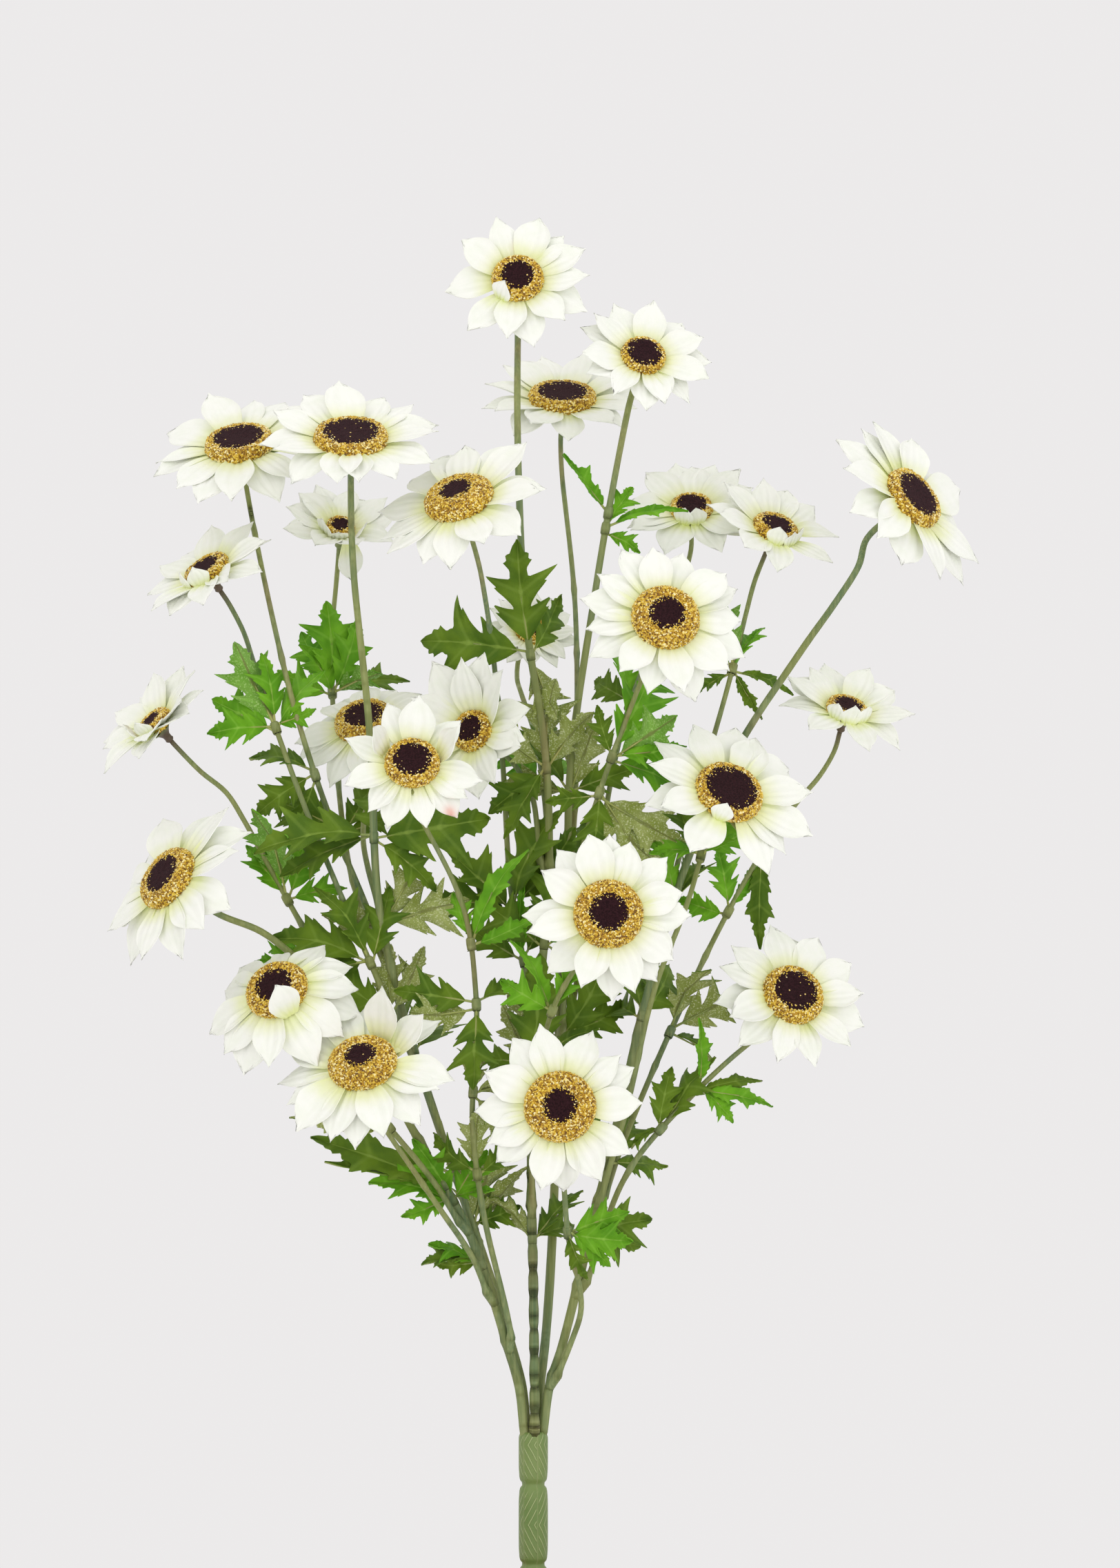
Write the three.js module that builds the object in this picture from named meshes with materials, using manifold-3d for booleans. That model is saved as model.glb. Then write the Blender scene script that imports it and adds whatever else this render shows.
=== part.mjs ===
// A potted black-eyed susan bush: fabric flowers on moulded stems that fan out of one trunk,
// set in the soil of a plain round clay pot. Millimetres, +Z up, origin at the centre of the
// pot's underside. -Y is the side that the flowers face.
import * as THREE from "three";
import Module from "manifold-3d";
import { mergeVertices } from "three/addons/utils/BufferGeometryUtils.js";

const wasm = await Module();
wasm.setup();

// Driving dimensions.
const GAP = 0.3; // between pieces that touch
const POT = {
  height: 130,
  rimRadius: 76,
  rimHeight: 24,
  rimOverhang: 4,
  rimEdge: 2,
  baseRadius: 54,
  wall: 6,
  floor: 8,
};
const SOIL = { top: 116, crownRadius: 40, crownRise: 2 };
const TRUNK = {
  bottom: 46,
  top: 213,
  radius: 6.6,
  grooveRadius: 5.5,
  grooveHalf: 1.6,
  pitch: 35.9,
  topGroove: 189.5,
  edge: 0.4,
};
const MAIN_STEM = { sides: 6, step: 20, baseRadius: 2.3, tipRadius: 1.5, circle: 4.45, upright: 9 };
const SIDE_STEM = { sides: 6, step: 18, baseRadius: 1.45, tipRadius: 1.15, lift: 14, spread: 1.6 };
const HEAD = {
  facets: 16,
  calyxLength: 9,
  calyxRadius: 2,
  neckRadius: 2.9,
  neckHeight: 3.5,
  petal: 1, // thickness of both rows of petals at the tips
  petalFoot: 1.6, // and beside the disc
  notch: 0.72, // radius between two petals, as a share of the tip radius
};
const NECK = 16; // straight length of a stem behind its flower
const WHORL = {
  sleeveFacets: 8,
  sleeveLength: 6,
  sleeveWall: 1,
  clearance: 0.5,
  bladeThickness: 0.8,
  bladeLift: 35, // degrees that a blade rises from its sleeve
};

// Flower kinds: diameters over the petals, the gold ring and the dark eye, and how far the tips rise.
const KINDS = {
  large: { span: 73, ring: 31, eye: 19, discHeight: 8, tipRise: 3 },
  medium: { span: 62, ring: 27, eye: 17, discHeight: 7, tipRise: 5 },
  small: { span: 50, ring: 20, eye: 13, discHeight: 5, tipRise: 9 },
};

// Main stems: the flower that each ends in, the place on the trunk in degrees, and the route.
const MAIN_STEMS = {
  left_front: {
    ends: "20",
    from: 206,
    route: [[-11, -7, 250], [-28, -14, 302], [-54, -19, 350], [-84, -20, 403], [-119, -26, 437]],
  },
  left_back: {
    ends: "05",
    from: 134,
    route: [
      [-10, 2, 252], [-27, 1, 305], [-46, -3, 361], [-60, -8, 407],
      [-69, -14, 450], [-73, -20, 528], [-80, -27, 600],
    ],
  },
  centre: {
    ends: "01",
    from: 278,
    route: [
      [0, -5, 283], [-1, -3, 330], [1, 0, 392], [7, 1, 460],
      [5, 1, 522], [-3, 0, 575], [-7, 0, 658],
    ],
  },
  centre_right: {
    ends: "02",
    from: 62,
    route: [
      [6, 8, 260], [9, 10, 310], [12, 12, 400], [15, 13, 460],
      [17, 14, 515], [27, 9, 585], [35, 7, 633],
    ],
  },
  right: {
    ends: "11",
    from: 350,
    route: [
      [13, -4, 252], [25, -6, 300], [36, -6, 345], [52, -6, 413],
      [70, -6, 472], [91, -6, 519], [119, -6, 562], [145, -7, 600],
    ],
  },
};

// Flowers. at: centre of the petals. heading: turn from facing -Y towards +X. lift: tilt above
// the horizon. Those on side stems also give the main stem, the height where they leave it, and
// the points that the stem passes.
const FLOWERS = {
  "01": { kind: "medium", at: [-7, 0, 730], heading: 0, lift: 28 },
  "02": { kind: "medium", at: [49, 4, 695], heading: 14, lift: 38 },
  "03": {
    kind: "large", at: [13, 56, 679], heading: 4, lift: 64,
    on: "centre_right", leaves: 425, via: [[19, 28, 500], [19, 50, 584]],
  },
  "04": {
    kind: "large", at: [-132, 4, 655], heading: -14, lift: 60,
    on: "left_back", leaves: 425, via: [[-91, 0, 488], [-106, -12, 535], [-118, -4, 583]],
  },
  "05": { kind: "large", at: [-81, -30, 656], heading: 2, lift: 60 },
  "06": {
    kind: "small", at: [-89, 60, 620], heading: 6, lift: 46,
    on: "left_back", leaves: 400, via: [[-82, 24, 460], [-92, 60, 535], [-93, 76, 578]],
  },
  "07": {
    kind: "large", at: [-32, -45, 628], heading: -26, lift: 54,
    on: "centre", leaves: 400, via: [[-10, 8, 455], [-14, 18, 515], [-19, -2, 570]],
  },
  "08": {
    kind: "medium", at: [-145, -10, 598], heading: -48, lift: 50,
    on: "left_front", leaves: 298, via: [[-46, -11, 362], [-68, -16, 413], [-100, -12, 488], [-121, -8, 545]],
  },
  "09": {
    kind: "small", at: [72, 45, 628], heading: 0, lift: 50,
    on: "centre_right", leaves: 380, via: [[26, 24, 450], [42, 36, 535]],
  },
  "10": {
    kind: "medium", at: [109, 25, 618], heading: 30, lift: 52,
    on: "right", leaves: 338, via: [[52, 8, 416], [67, 16, 475], [88, 22, 548]],
  },
  "11": { kind: "large", at: [169, -5, 631], heading: 52, lift: 32 },
  "12": {
    kind: "large", at: [58, -62, 576], heading: 10, lift: 26,
    on: "centre_right", leaves: 395, via: [[20, -6, 466], [33, -24, 510]],
  },
  "13": {
    kind: "small", at: [-2, 85, 574], heading: 18, lift: 35,
    on: "centre", leaves: 468, via: [[2, 36, 520]],
  },
  "14": {
    kind: "small", at: [-168, -15, 530], heading: -58, lift: 44,
    on: "left_front", leaves: 345, via: [[-80, -6, 398], [-112, -4, 455], [-140, -6, 503]],
  },
  "15": {
    kind: "large", at: [-76, 20, 530], heading: -14, lift: 52,
    on: "left_back", leaves: 438, via: [[-77, 8, 480]],
  },
  "16": {
    kind: "medium", at: [-53, -60, 512], heading: 2, lift: 34,
    on: "left_front", leaves: 258, via: [[-22, -22, 312], [-27, -28, 354], [-25, -32, 400], [-31, -40, 450]],
  },
  "17": {
    kind: "small", at: [-26, -16, 527], heading: -30, lift: 20,
    on: "centre", leaves: 470, via: [[-2, 5, 503]],
  },
  "18": {
    kind: "medium", at: [142, 35, 536], heading: 26, lift: 56,
    on: "right", leaves: 322, via: [[58, 10, 384], [86, 22, 442], [112, 30, 486]],
  },
  "19": {
    kind: "large", at: [86, -45, 499], heading: 24, lift: 38,
    on: "right", leaves: 318, via: [[42, -17, 360], [54, -24, 412], [70, -32, 455]],
  },
  "20": { kind: "large", at: [-160, -40, 461], heading: -52, lift: 32 },
  "21": {
    kind: "large", at: [33, -90, 447], heading: 2, lift: 12,
    on: "centre", leaves: 318, via: [[1, -34, 372], [12, -62, 412]],
  },
  "22": {
    kind: "large", at: [-112, -55, 412], heading: -24, lift: 36,
    on: "left_front", leaves: 312, via: [[-72, -44, 362]],
  },
  "23": {
    kind: "medium", at: [115, -25, 409], heading: 22, lift: 30,
    on: "right", leaves: 282, via: [[42, -14, 330], [80, -20, 374]],
  },
  "24": {
    kind: "large", at: [-74, -75, 380], heading: -14, lift: 48,
    on: "left_front", leaves: 278, via: [[-44, -42, 320]],
  },
  "25": {
    kind: "large", at: [12, -85, 363], heading: 0, lift: 12,
    on: "right", leaves: 240, via: [[22, -14, 268], [16, -34, 300]],
  },
};

// Leaf whorls: the stem that carries each, its share of the way along it, the blade length, the
// number of blades and the turn of the first one.
const WHORLS = {
  left_low: { stem: "16", along: 0.43, blade: 38, count: 3, turn: 20 },
  left_middle: { stem: "left_back", along: 0.47, blade: 42, count: 3, turn: 145 },
  left_high: { stem: "08", along: 0.72, blade: 38, count: 3, turn: 50 },
  back_high: { stem: "06", along: 0.5, blade: 34, count: 3, turn: 70 },
  centre_high: { stem: "07", along: 0.87, blade: 44, count: 3, turn: 100 },
  centre_low: { stem: "centre_right", along: 0.3, blade: 42, count: 3, turn: 40 },
  right_low: { stem: "right", along: 0.21, blade: 42, count: 3, turn: 120 },
};

const MATERIALS = {
  clay: new THREE.MeshStandardMaterial({ color: 0xb5653f, roughness: 0.9 }),
  soil: new THREE.MeshStandardMaterial({ color: 0x2c2019, roughness: 1 }),
  stem: new THREE.MeshStandardMaterial({ color: 0x7c8a45, roughness: 0.55 }),
  petal: new THREE.MeshStandardMaterial({ color: 0xf1f3e6, roughness: 0.85 }),
  leaf: new THREE.MeshStandardMaterial({ color: 0x4d7a1e, roughness: 0.75 }),
};

const degrees = THREE.MathUtils.degToRad;
const vector = (p) => new THREE.Vector3(...p);

const plant = new THREE.Group();

function add(name, geometry, material) {
  const mesh = new THREE.Mesh(geometry, material);
  mesh.name = name;
  plant.add(mesh);
  return mesh;
}

// A profile of [radius, height] pairs, listed from the bottom up on the outside, turned about +Z.
function lathe(profile, facets) {
  const points = profile.map(([radius, height]) => new THREE.Vector2(radius, height));
  return new THREE.LatheGeometry(points, facets).rotateX(Math.PI / 2);
}

function toSolid(geometry) {
  const bare = new THREE.BufferGeometry();
  bare.setAttribute("position", geometry.getAttribute("position"));
  bare.setIndex(geometry.index);
  const merged = mergeVertices(bare, 1e-3);
  const vertProperties = merged.attributes.position.array;
  const triVerts = new Uint32Array(merged.index.array);
  return new wasm.Manifold(new wasm.Mesh({ numProp: 3, vertProperties, triVerts }));
}

function toGeometry(solid) {
  const mesh = solid.getMesh();
  const geometry = new THREE.BufferGeometry();
  geometry.setAttribute("position", new THREE.BufferAttribute(mesh.vertProperties, 3));
  geometry.setIndex(new THREE.BufferAttribute(mesh.triVerts, 1));
  return geometry;
}

// The clay pot: a tapered cup with a thick band at the rim.
function addPot() {
  const { height, rimRadius, rimHeight, rimOverhang, rimEdge, baseRadius, floor } = POT;
  const bandRadius = rimRadius - rimOverhang;
  const bandFoot = height - rimHeight;
  const outside = [
    [0, 0], [baseRadius, 0], [bandRadius, bandFoot],
    [rimRadius, bandFoot + rimEdge], [rimRadius, height - rimEdge], [rimRadius - rimEdge, height],
  ];
  const inside = [height, bandFoot, floor].map((level) => [insideRadius(level), level]);
  const profile = [...outside, ...inside, [0, floor]];
  add("pot", lathe(profile, 40), MATERIALS.clay);
}

// Radius of the pot's inside at a height.
function insideRadius(height) {
  const { rimRadius, rimHeight, rimOverhang, rimEdge, baseRadius, wall, floor } = POT;
  const foot = { height: floor, radius: baseRadius - wall };
  const band = { height: POT.height - rimHeight, radius: rimRadius - rimOverhang - wall };
  const rim = { height: POT.height, radius: rimRadius - rimEdge / 2 - wall };
  const [low, high] = height < band.height ? [foot, band] : [band, rim];
  return THREE.MathUtils.mapLinear(height, low.height, high.height, low.radius, high.radius);
}

// The soil fills the pot and has a socket for the trunk.
function addSoil() {
  const bottom = POT.floor + GAP;
  const bandFoot = POT.height - POT.rimHeight;
  const socket = TRUNK.radius + GAP;
  const fit = 3 * GAP; // the facets of soil and pot differ, so this leaves a true gap
  const edge = SOIL.top - SOIL.crownRise;
  const profile = [
    [0, bottom], [insideRadius(bottom) - fit, bottom], [insideRadius(bandFoot) - fit, bandFoot],
    [insideRadius(edge) - fit, edge], [SOIL.crownRadius, SOIL.top], [socket, SOIL.top],
    [socket, TRUNK.bottom - GAP], [0, TRUNK.bottom - GAP],
  ];
  add("soil", lathe(profile, 32), MATERIALS.soil);
}

// The moulded trunk: barrel-shaped lengths between cutting grooves.
function addTrunk() {
  const { bottom, top, radius, grooveRadius, grooveHalf, pitch, topGroove, edge } = TRUNK;
  const profile = [[0, bottom], [grooveRadius, bottom]];
  const grooves = Math.floor((topGroove - bottom) / pitch);
  for (let n = grooves; n >= 0; n--) {
    const height = topGroove - n * pitch;
    const cut = [[radius, height - grooveHalf], [grooveRadius, height]];
    if (height - grooveHalf > bottom + edge) profile.push(...cut);
    profile.push([radius, height + grooveHalf]);
  }
  profile.push([radius, top - 3 * edge], [radius - edge, top], [0, top]);
  add("trunk", lathe(profile, 16), MATERIALS.stem);
}

// A round stem along a curve, tapered from one radius to another.
function stemGeometry(curve, { sides, step, baseRadius, tipRadius }) {
  const steps = Math.max(4, Math.round(curve.getLength() / step));
  const section = new THREE.Shape();
  for (let n = 0; n < sides; n++) {
    const angle = (2 * Math.PI * n) / sides;
    section[n ? "lineTo" : "moveTo"](Math.cos(angle), Math.sin(angle));
  }
  const geometry = new THREE.ExtrudeGeometry(section, { steps, extrudePath: curve, bevelEnabled: false });
  const centres = curve.getSpacedPoints(steps);
  const position = geometry.getAttribute("position");
  const point = new THREE.Vector3();
  for (let n = 0; n < position.count; n++) {
    point.fromBufferAttribute(position, n);
    const distances = centres.map((centre) => centre.distanceToSquared(point));
    const nearest = distances.indexOf(Math.min(...distances));
    const radius = THREE.MathUtils.lerp(baseRadius, tipRadius, nearest / steps);
    point.sub(centres[nearest]).multiplyScalar(radius).add(centres[nearest]);
    position.setXYZ(n, point.x, point.y, point.z);
  }
  return geometry;
}

const curveThrough = (points) => new THREE.CatmullRomCurve3(points, false, "centripetal");

// The way that a flower faces.
function facing({ heading, lift }) {
  const turn = degrees(heading);
  const tilt = degrees(lift);
  return new THREE.Vector3(Math.sin(turn) * Math.cos(tilt), -Math.cos(turn) * Math.cos(tilt), Math.sin(tilt));
}

// The straight end of a stem behind its flower: two points, the second just short of the calyx.
function neck(flower) {
  const back = facing(flower).negate();
  const end = vector(flower.at).addScaledVector(back, HEAD.calyxLength + GAP);
  return [end.clone().addScaledVector(back, NECK), end];
}

function mainCurve({ ends, from, route }) {
  const angle = degrees(from);
  const foot = new THREE.Vector3(MAIN_STEM.circle, 0, TRUNK.top + GAP);
  foot.applyAxisAngle(new THREE.Vector3(0, 0, 1), angle);
  const lifted = foot.clone().setZ(TRUNK.top + MAIN_STEM.upright);
  return curveThrough([foot, lifted, ...route.map(vector), ...neck(FLOWERS[ends])]);
}

// The share of a rising curve where it reaches a height.
function shareAtHeight(curve, height) {
  let low = 0;
  let high = 1;
  for (let n = 0; n < 30; n++) {
    const middle = (low + high) / 2;
    if (curve.getPointAt(middle).z < height) low = middle;
    else high = middle;
  }
  return low;
}

// A side stem leaves the side of its main stem, runs up beside it, then follows its own points.
function sideCurve(flower, main) {
  const share = shareAtHeight(main, flower.leaves);
  const start = main.getPointAt(share);
  const along = main.getTangentAt(share);
  const aside = vector(flower.via[0]).sub(start);
  aside.addScaledVector(along, -aside.dot(along)).normalize();
  const offset = MAIN_STEM.baseRadius + SIDE_STEM.baseRadius + 2 * GAP;
  start.addScaledVector(aside, offset);
  const beside = start.clone().addScaledVector(along, SIDE_STEM.lift);
  beside.addScaledVector(aside, SIDE_STEM.spread);
  return curveThrough([start, beside, ...flower.via.map(vector), ...neck(flower)]);
}

// A flower head: calyx, a dish of pointed petals and the raised disc in one solid, facing +Z.
function headGeometry({ span, ring, eye, discHeight, tipRise }) {
  const { facets, calyxLength, calyxRadius, neckRadius, neckHeight, petal, petalFoot, notch } = HEAD;
  const tip = span / 2;
  const profile = [
    [0, -calyxLength], [calyxRadius, -calyxLength], [neckRadius, -neckHeight], [ring / 2, -petalFoot],
    [tip, tipRise - petal], [tip, tipRise], [ring / 2, 0], [eye / 2, discHeight], [0, discHeight],
  ];
  const geometry = lathe(profile, facets);
  const position = geometry.getAttribute("position");
  for (let n = 0; n < position.count; n++) {
    const [x, y] = [position.getX(n), position.getY(n)];
    const facet = Math.round((Math.atan2(y, x) * facets) / (2 * Math.PI));
    const atNotch = Math.hypot(x, y) > notch * tip && facet % 2 !== 0;
    if (atNotch) position.setXY(n, x * notch, y * notch);
  }
  return geometry;
}

function addFlower(number, flower) {
  const head = add(`flower_head_${number}`, headGeometry(KINDS[flower.kind]), MATERIALS.petal);
  head.position.set(...flower.at);
  head.quaternion.setFromUnitVectors(new THREE.Vector3(0, 0, 1), facing(flower));
}

// One lobed leaf blade, lying along +X from its foot, as a thin plate.
function bladeGeometry(length) {
  const outline = [
    [0, 0.03], [0.22, 0.05], [0.36, 0.2], [0.5, 0.24], [0.55, 0.13], [0.74, 0.17], [0.78, 0.07], [1, 0],
  ];
  const mirrored = outline.slice(0, -1).reverse().map(([x, y]) => [x, -y]);
  const points = [...outline, ...mirrored].map(([x, y]) => new THREE.Vector2(x * length, y * length));
  const plate = { depth: WHORL.bladeThickness, bevelEnabled: false };
  return new THREE.ExtrudeGeometry(new THREE.Shape(points), plate);
}

// A whorl of leaves on a short sleeve that sits round its stem.
function addWhorl(name, { stem, along, blade, count, turn }, curves) {
  const { sleeveFacets, sleeveLength, sleeveWall, clearance, bladeLift } = WHORL;
  const { curve, size } = curves[stem];
  const inner = THREE.MathUtils.lerp(size.baseRadius, size.tipRadius, along) + clearance;
  const outer = inner + sleeveWall;
  const half = sleeveLength / 2;
  const sleeve = [[inner, -half], [outer, -half], [outer, half], [inner, half], [inner, -half]];
  let solid = toSolid(lathe(sleeve, sleeveFacets));
  for (let n = 0; n < count; n++) {
    const geometry = bladeGeometry(blade)
      .rotateY(degrees(-bladeLift))
      .translate(inner + sleeveWall / 3, 0, 0)
      .rotateZ(degrees(turn) + (2 * Math.PI * n) / count);
    solid = solid.add(toSolid(geometry));
  }
  const mesh = add(`leaf_whorl_${name}`, toGeometry(solid), MATERIALS.leaf);
  mesh.position.copy(curve.getPointAt(along));
  mesh.quaternion.setFromUnitVectors(new THREE.Vector3(0, 0, 1), curve.getTangentAt(along));
}

addPot();
addSoil();
addTrunk();

const curves = {};
for (const [name, stem] of Object.entries(MAIN_STEMS)) {
  curves[name] = { curve: mainCurve(stem), size: MAIN_STEM };
  add(`main_stem_${name}`, stemGeometry(curves[name].curve, MAIN_STEM), MATERIALS.stem);
}
for (const [number, flower] of Object.entries(FLOWERS)) {
  addFlower(number, flower);
  if (!flower.on) continue;
  curves[number] = { curve: sideCurve(flower, curves[flower.on].curve), size: SIDE_STEM };
  add(`flower_stem_${number}`, stemGeometry(curves[number].curve, SIDE_STEM), MATERIALS.stem);
}
for (const [name, whorl] of Object.entries(WHORLS)) addWhorl(name, whorl, curves);

export default plant;
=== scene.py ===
# %% [markdown]
# # A potted bush of white fabric daisies
# The real thing is an artificial bush: woven satin petals, gold crumbs glued round a flocked eye,
# printed fabric leaves, and moulded plastic stems that meet in one thick trunk, which stands in a
# clay pot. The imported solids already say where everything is. This lesson reads the stems and
# the flowers from them, and makes each visible piece again with its true surface.

# %% Load the frame
import math
import random

import bmesh
import bpy
import numpy as np
from mathutils import Matrix, Vector, noise


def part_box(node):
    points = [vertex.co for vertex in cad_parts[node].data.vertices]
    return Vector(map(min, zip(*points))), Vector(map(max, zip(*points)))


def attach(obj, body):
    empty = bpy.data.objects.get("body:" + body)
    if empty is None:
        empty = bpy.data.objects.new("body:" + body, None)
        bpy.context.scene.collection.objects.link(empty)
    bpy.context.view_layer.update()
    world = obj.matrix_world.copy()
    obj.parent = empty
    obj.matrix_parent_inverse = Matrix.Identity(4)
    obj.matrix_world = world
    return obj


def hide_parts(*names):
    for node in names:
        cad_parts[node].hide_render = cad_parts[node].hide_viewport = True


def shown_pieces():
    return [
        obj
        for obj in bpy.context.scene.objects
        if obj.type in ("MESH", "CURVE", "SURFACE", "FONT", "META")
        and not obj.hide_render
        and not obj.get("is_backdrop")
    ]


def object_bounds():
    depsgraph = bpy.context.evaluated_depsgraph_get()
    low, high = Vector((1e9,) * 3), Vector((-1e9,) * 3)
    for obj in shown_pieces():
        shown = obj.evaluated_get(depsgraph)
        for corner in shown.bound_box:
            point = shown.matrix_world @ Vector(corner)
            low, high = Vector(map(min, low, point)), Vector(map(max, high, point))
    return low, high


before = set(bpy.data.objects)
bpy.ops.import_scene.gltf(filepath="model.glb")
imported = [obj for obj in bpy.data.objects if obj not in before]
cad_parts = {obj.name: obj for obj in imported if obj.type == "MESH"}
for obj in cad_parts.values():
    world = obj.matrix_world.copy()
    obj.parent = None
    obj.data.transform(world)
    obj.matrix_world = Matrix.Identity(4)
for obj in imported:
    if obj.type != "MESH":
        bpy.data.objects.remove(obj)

cad_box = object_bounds()
MM = 0.001
UP = Vector((0, 0, 1))
VIEWER = Vector((0, -1, 0))
print("solids:", len(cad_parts), "height in mm:", round(cad_box[1].z / MM))

# %% [markdown]
# ## Camera and light
# The bush is seen straight on, from a few metres away, so that near and far flowers keep their
# size. The light is that of a white studio: an even pale surround and four large soft lamps. The
# one at the upper left is the strongest and gives the petals shape. The others fill in from the
# right, from the front and from above. The floor is a disc that fades into the surround, so it
# carries a shadow but shows no edge.

# %% Camera
CAMERA_PLACE = Vector((0.012, -2.8, 0.504))
VIEW_HEIGHT = 0.7046
SENSOR = 36
camera_data = bpy.data.cameras.new("camera")
camera_data.sensor_fit = "VERTICAL"
camera_data.sensor_height = SENSOR
camera_data.lens = SENSOR * -CAMERA_PLACE.y / VIEW_HEIGHT
camera = bpy.data.objects.new("camera", camera_data)
bpy.context.collection.objects.link(camera)
camera.location = CAMERA_PLACE
camera.rotation_euler = (math.radians(90), 0, 0)
bpy.context.scene.camera = camera
bpy.context.scene.view_settings.view_transform = "Standard"
print("lens in mm:", round(camera_data.lens, 1))

# %% Lamps and surround
SURROUND = (0.84, 0.825, 0.825)
LAMP_SIZE = 2.2
LAMP_TARGET = Vector((0, 0, 0.45))


def add_lamp(name, place, power, colour):
    """A square soft lamp that faces the middle of the bush."""
    lamp_data = bpy.data.lights.new(name, "AREA")
    lamp_data.size = LAMP_SIZE
    lamp_data.energy = power
    lamp_data.color = colour
    lamp = bpy.data.objects.new(name, lamp_data)
    bpy.context.collection.objects.link(lamp)
    lamp.location = place
    lamp.rotation_mode = "QUATERNION"
    lamp.rotation_quaternion = (LAMP_TARGET - lamp.location).to_track_quat("-Z", "Y")


add_lamp("key_lamp", (-1.3, -1.7, 2.3), 10, (1, 0.99, 0.97))
add_lamp("fill_lamp", (1.8, -1.5, 0.9), 9, (0.97, 0.98, 1))
add_lamp("front_lamp", (0.0, -2.5, 0.4), 9, (1, 1, 1))
add_lamp("top_lamp", (0.1, 0.5, 2.7), 5, (1, 1, 1))
world = bpy.data.worlds.new("surround")
bpy.context.scene.world = world
world.use_nodes = True
world.node_tree.nodes["Background"].inputs["Color"].default_value = (*SURROUND, 1)

# %% [markdown]
# ## Shader maths as Python
# A finish is a Principled shader plus a few nodes. To write its maths as plain expressions, a
# small class wraps a node's output and overloads the operators, so that `1 - mask * 0.5` adds
# the Math nodes itself. Any other node comes from the one method `node`.

# %% Sockets
def both_ways(operation):
    """An operator's two forms: the socket first, as in mask - 1, or second, as in 1 - mask."""
    def forward(self, other):
        return self.maths(operation, self, other)

    def reflected(self, other):
        return self.maths(operation, other, self)

    return forward, reflected


class Socket:
    """One output of a node, on which arithmetic adds Math nodes."""

    __add__, __radd__ = both_ways("ADD")
    __sub__, __rsub__ = both_ways("SUBTRACT")
    __mul__, __rmul__ = both_ways("MULTIPLY")
    __truediv__, __rtruediv__ = both_ways("DIVIDE")
    __mod__, __rmod__ = both_ways("FLOORED_MODULO")
    __lt__, __gt__ = both_ways("LESS_THAN")

    def __init__(self, finish, output):
        self.finish = finish
        self.output = output

    def maths(self, operation, first, second):
        return self.finish.node("ShaderNodeMath", {"operation": operation}, {0: first, 1: second})

    def __abs__(self):
        return self.maths("ABSOLUTE", self, 0)

    def sine(self):
        return self.maths("SINE", self, 0)

    def ramp(self, low, high):
        """0 below low, 1 above high, and smooth between."""
        settings = {"interpolation_type": "SMOOTHSTEP"}
        return self.finish.node("ShaderNodeMapRange", settings, {0: self, 1: low, 2: high, 3: 0, 4: 1})


# %% Finishes
class Finish:
    """A material that is being put together."""

    def __init__(self, name, constants):
        self.material = bpy.data.materials.new(name)
        self.material.use_nodes = True
        self.tree = self.material.node_tree
        self.shader = self.tree.nodes["Principled BSDF"]
        for socket_name, value in constants.items():
            self.set(socket_name, value)

    def node(self, kind, settings, inputs, output=0):
        """Adds a node of any kind and returns one of its outputs."""
        made = self.tree.nodes.new(kind)
        for key, value in settings.items():
            if key == "stops":
                self.set_stops(made.color_ramp, value)
            else:
                setattr(made, key, value)
        for key, value in inputs.items():
            self.join(made.inputs[key], value)
        return Socket(self, made.outputs[output])

    def set_stops(self, ramp, stops):
        while len(ramp.elements) < len(stops):
            ramp.elements.new(0.5)
        for element, (place, colour) in zip(ramp.elements, stops):
            element.position = place
            element.color = (*colour, 1)

    def join(self, target, value):
        """Links a socket to an input, or sets the input to a constant."""
        if isinstance(value, Socket):
            self.tree.links.new(value.output, target)
        elif isinstance(value, tuple) and target.type == "RGBA":
            target.default_value = (*value, 1)
        else:
            target.default_value = value

    def set(self, socket_name, value):
        self.join(self.shader.inputs[socket_name], value)

    def coordinates(self, which="Object"):
        return self.node("ShaderNodeTexCoord", {}, {}, which)

    def parts(self, vector, count):
        """The first few numbers of a vector."""
        return [self.node("ShaderNodeSeparateXYZ", {}, {0: vector}, n) for n in range(count)]

    def uv_parts(self):
        """The two numbers of the piece's own UV map."""
        return self.parts(self.coordinates("UV"), 2)

    def noise(self, scale, detail=2.0, stretch=(1, 1, 1)):
        """Soft noise, scale in waves per metre."""
        place = self.node("ShaderNodeMapping", {}, {0: self.coordinates(), 3: stretch})
        return self.node("ShaderNodeTexNoise", {}, {"Vector": place, "Scale": scale, "Detail": detail})

    def angle(self, y, x):
        """The angle round the origin, in radians."""
        return self.node("ShaderNodeMath", {"operation": "ARCTAN2"}, {0: y, 1: x})

    def cells(self, scale, output):
        """Voronoi cells, scale in cells per metre."""
        inputs = {"Vector": self.coordinates(), "Scale": scale}
        return self.node("ShaderNodeTexVoronoi", {}, inputs, output)

    def cell_pick(self, scale):
        """A number from 0 to 1 that is the same all over one cell."""
        return self.node("ShaderNodeSeparateColor", {}, {0: self.cells(scale, "Color")}, 0)

    def mix(self, factor, first, second):
        """The first colour where the factor is 0, the second where it is 1."""
        settings = {"data_type": "RGBA"}
        return self.node("ShaderNodeMix", settings, {0: factor, 6: first, 7: second}, 2)

    def attribute(self, name):
        return self.node("ShaderNodeAttribute", {"attribute_name": name}, {}, "Fac")

    def bump(self, height, distance, strength=1.0):
        inputs = {"Height": height, "Distance": distance, "Strength": strength}
        self.set("Normal", self.node("ShaderNodeBump", {}, inputs))

    def tell(self):
        print("finish:", self.material.name, "with", len(self.tree.nodes), "nodes")


# %% [markdown]
# ## Studio floor
# The floor's finish mixes a plain matt white with full transparency by distance from the pot.

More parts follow.
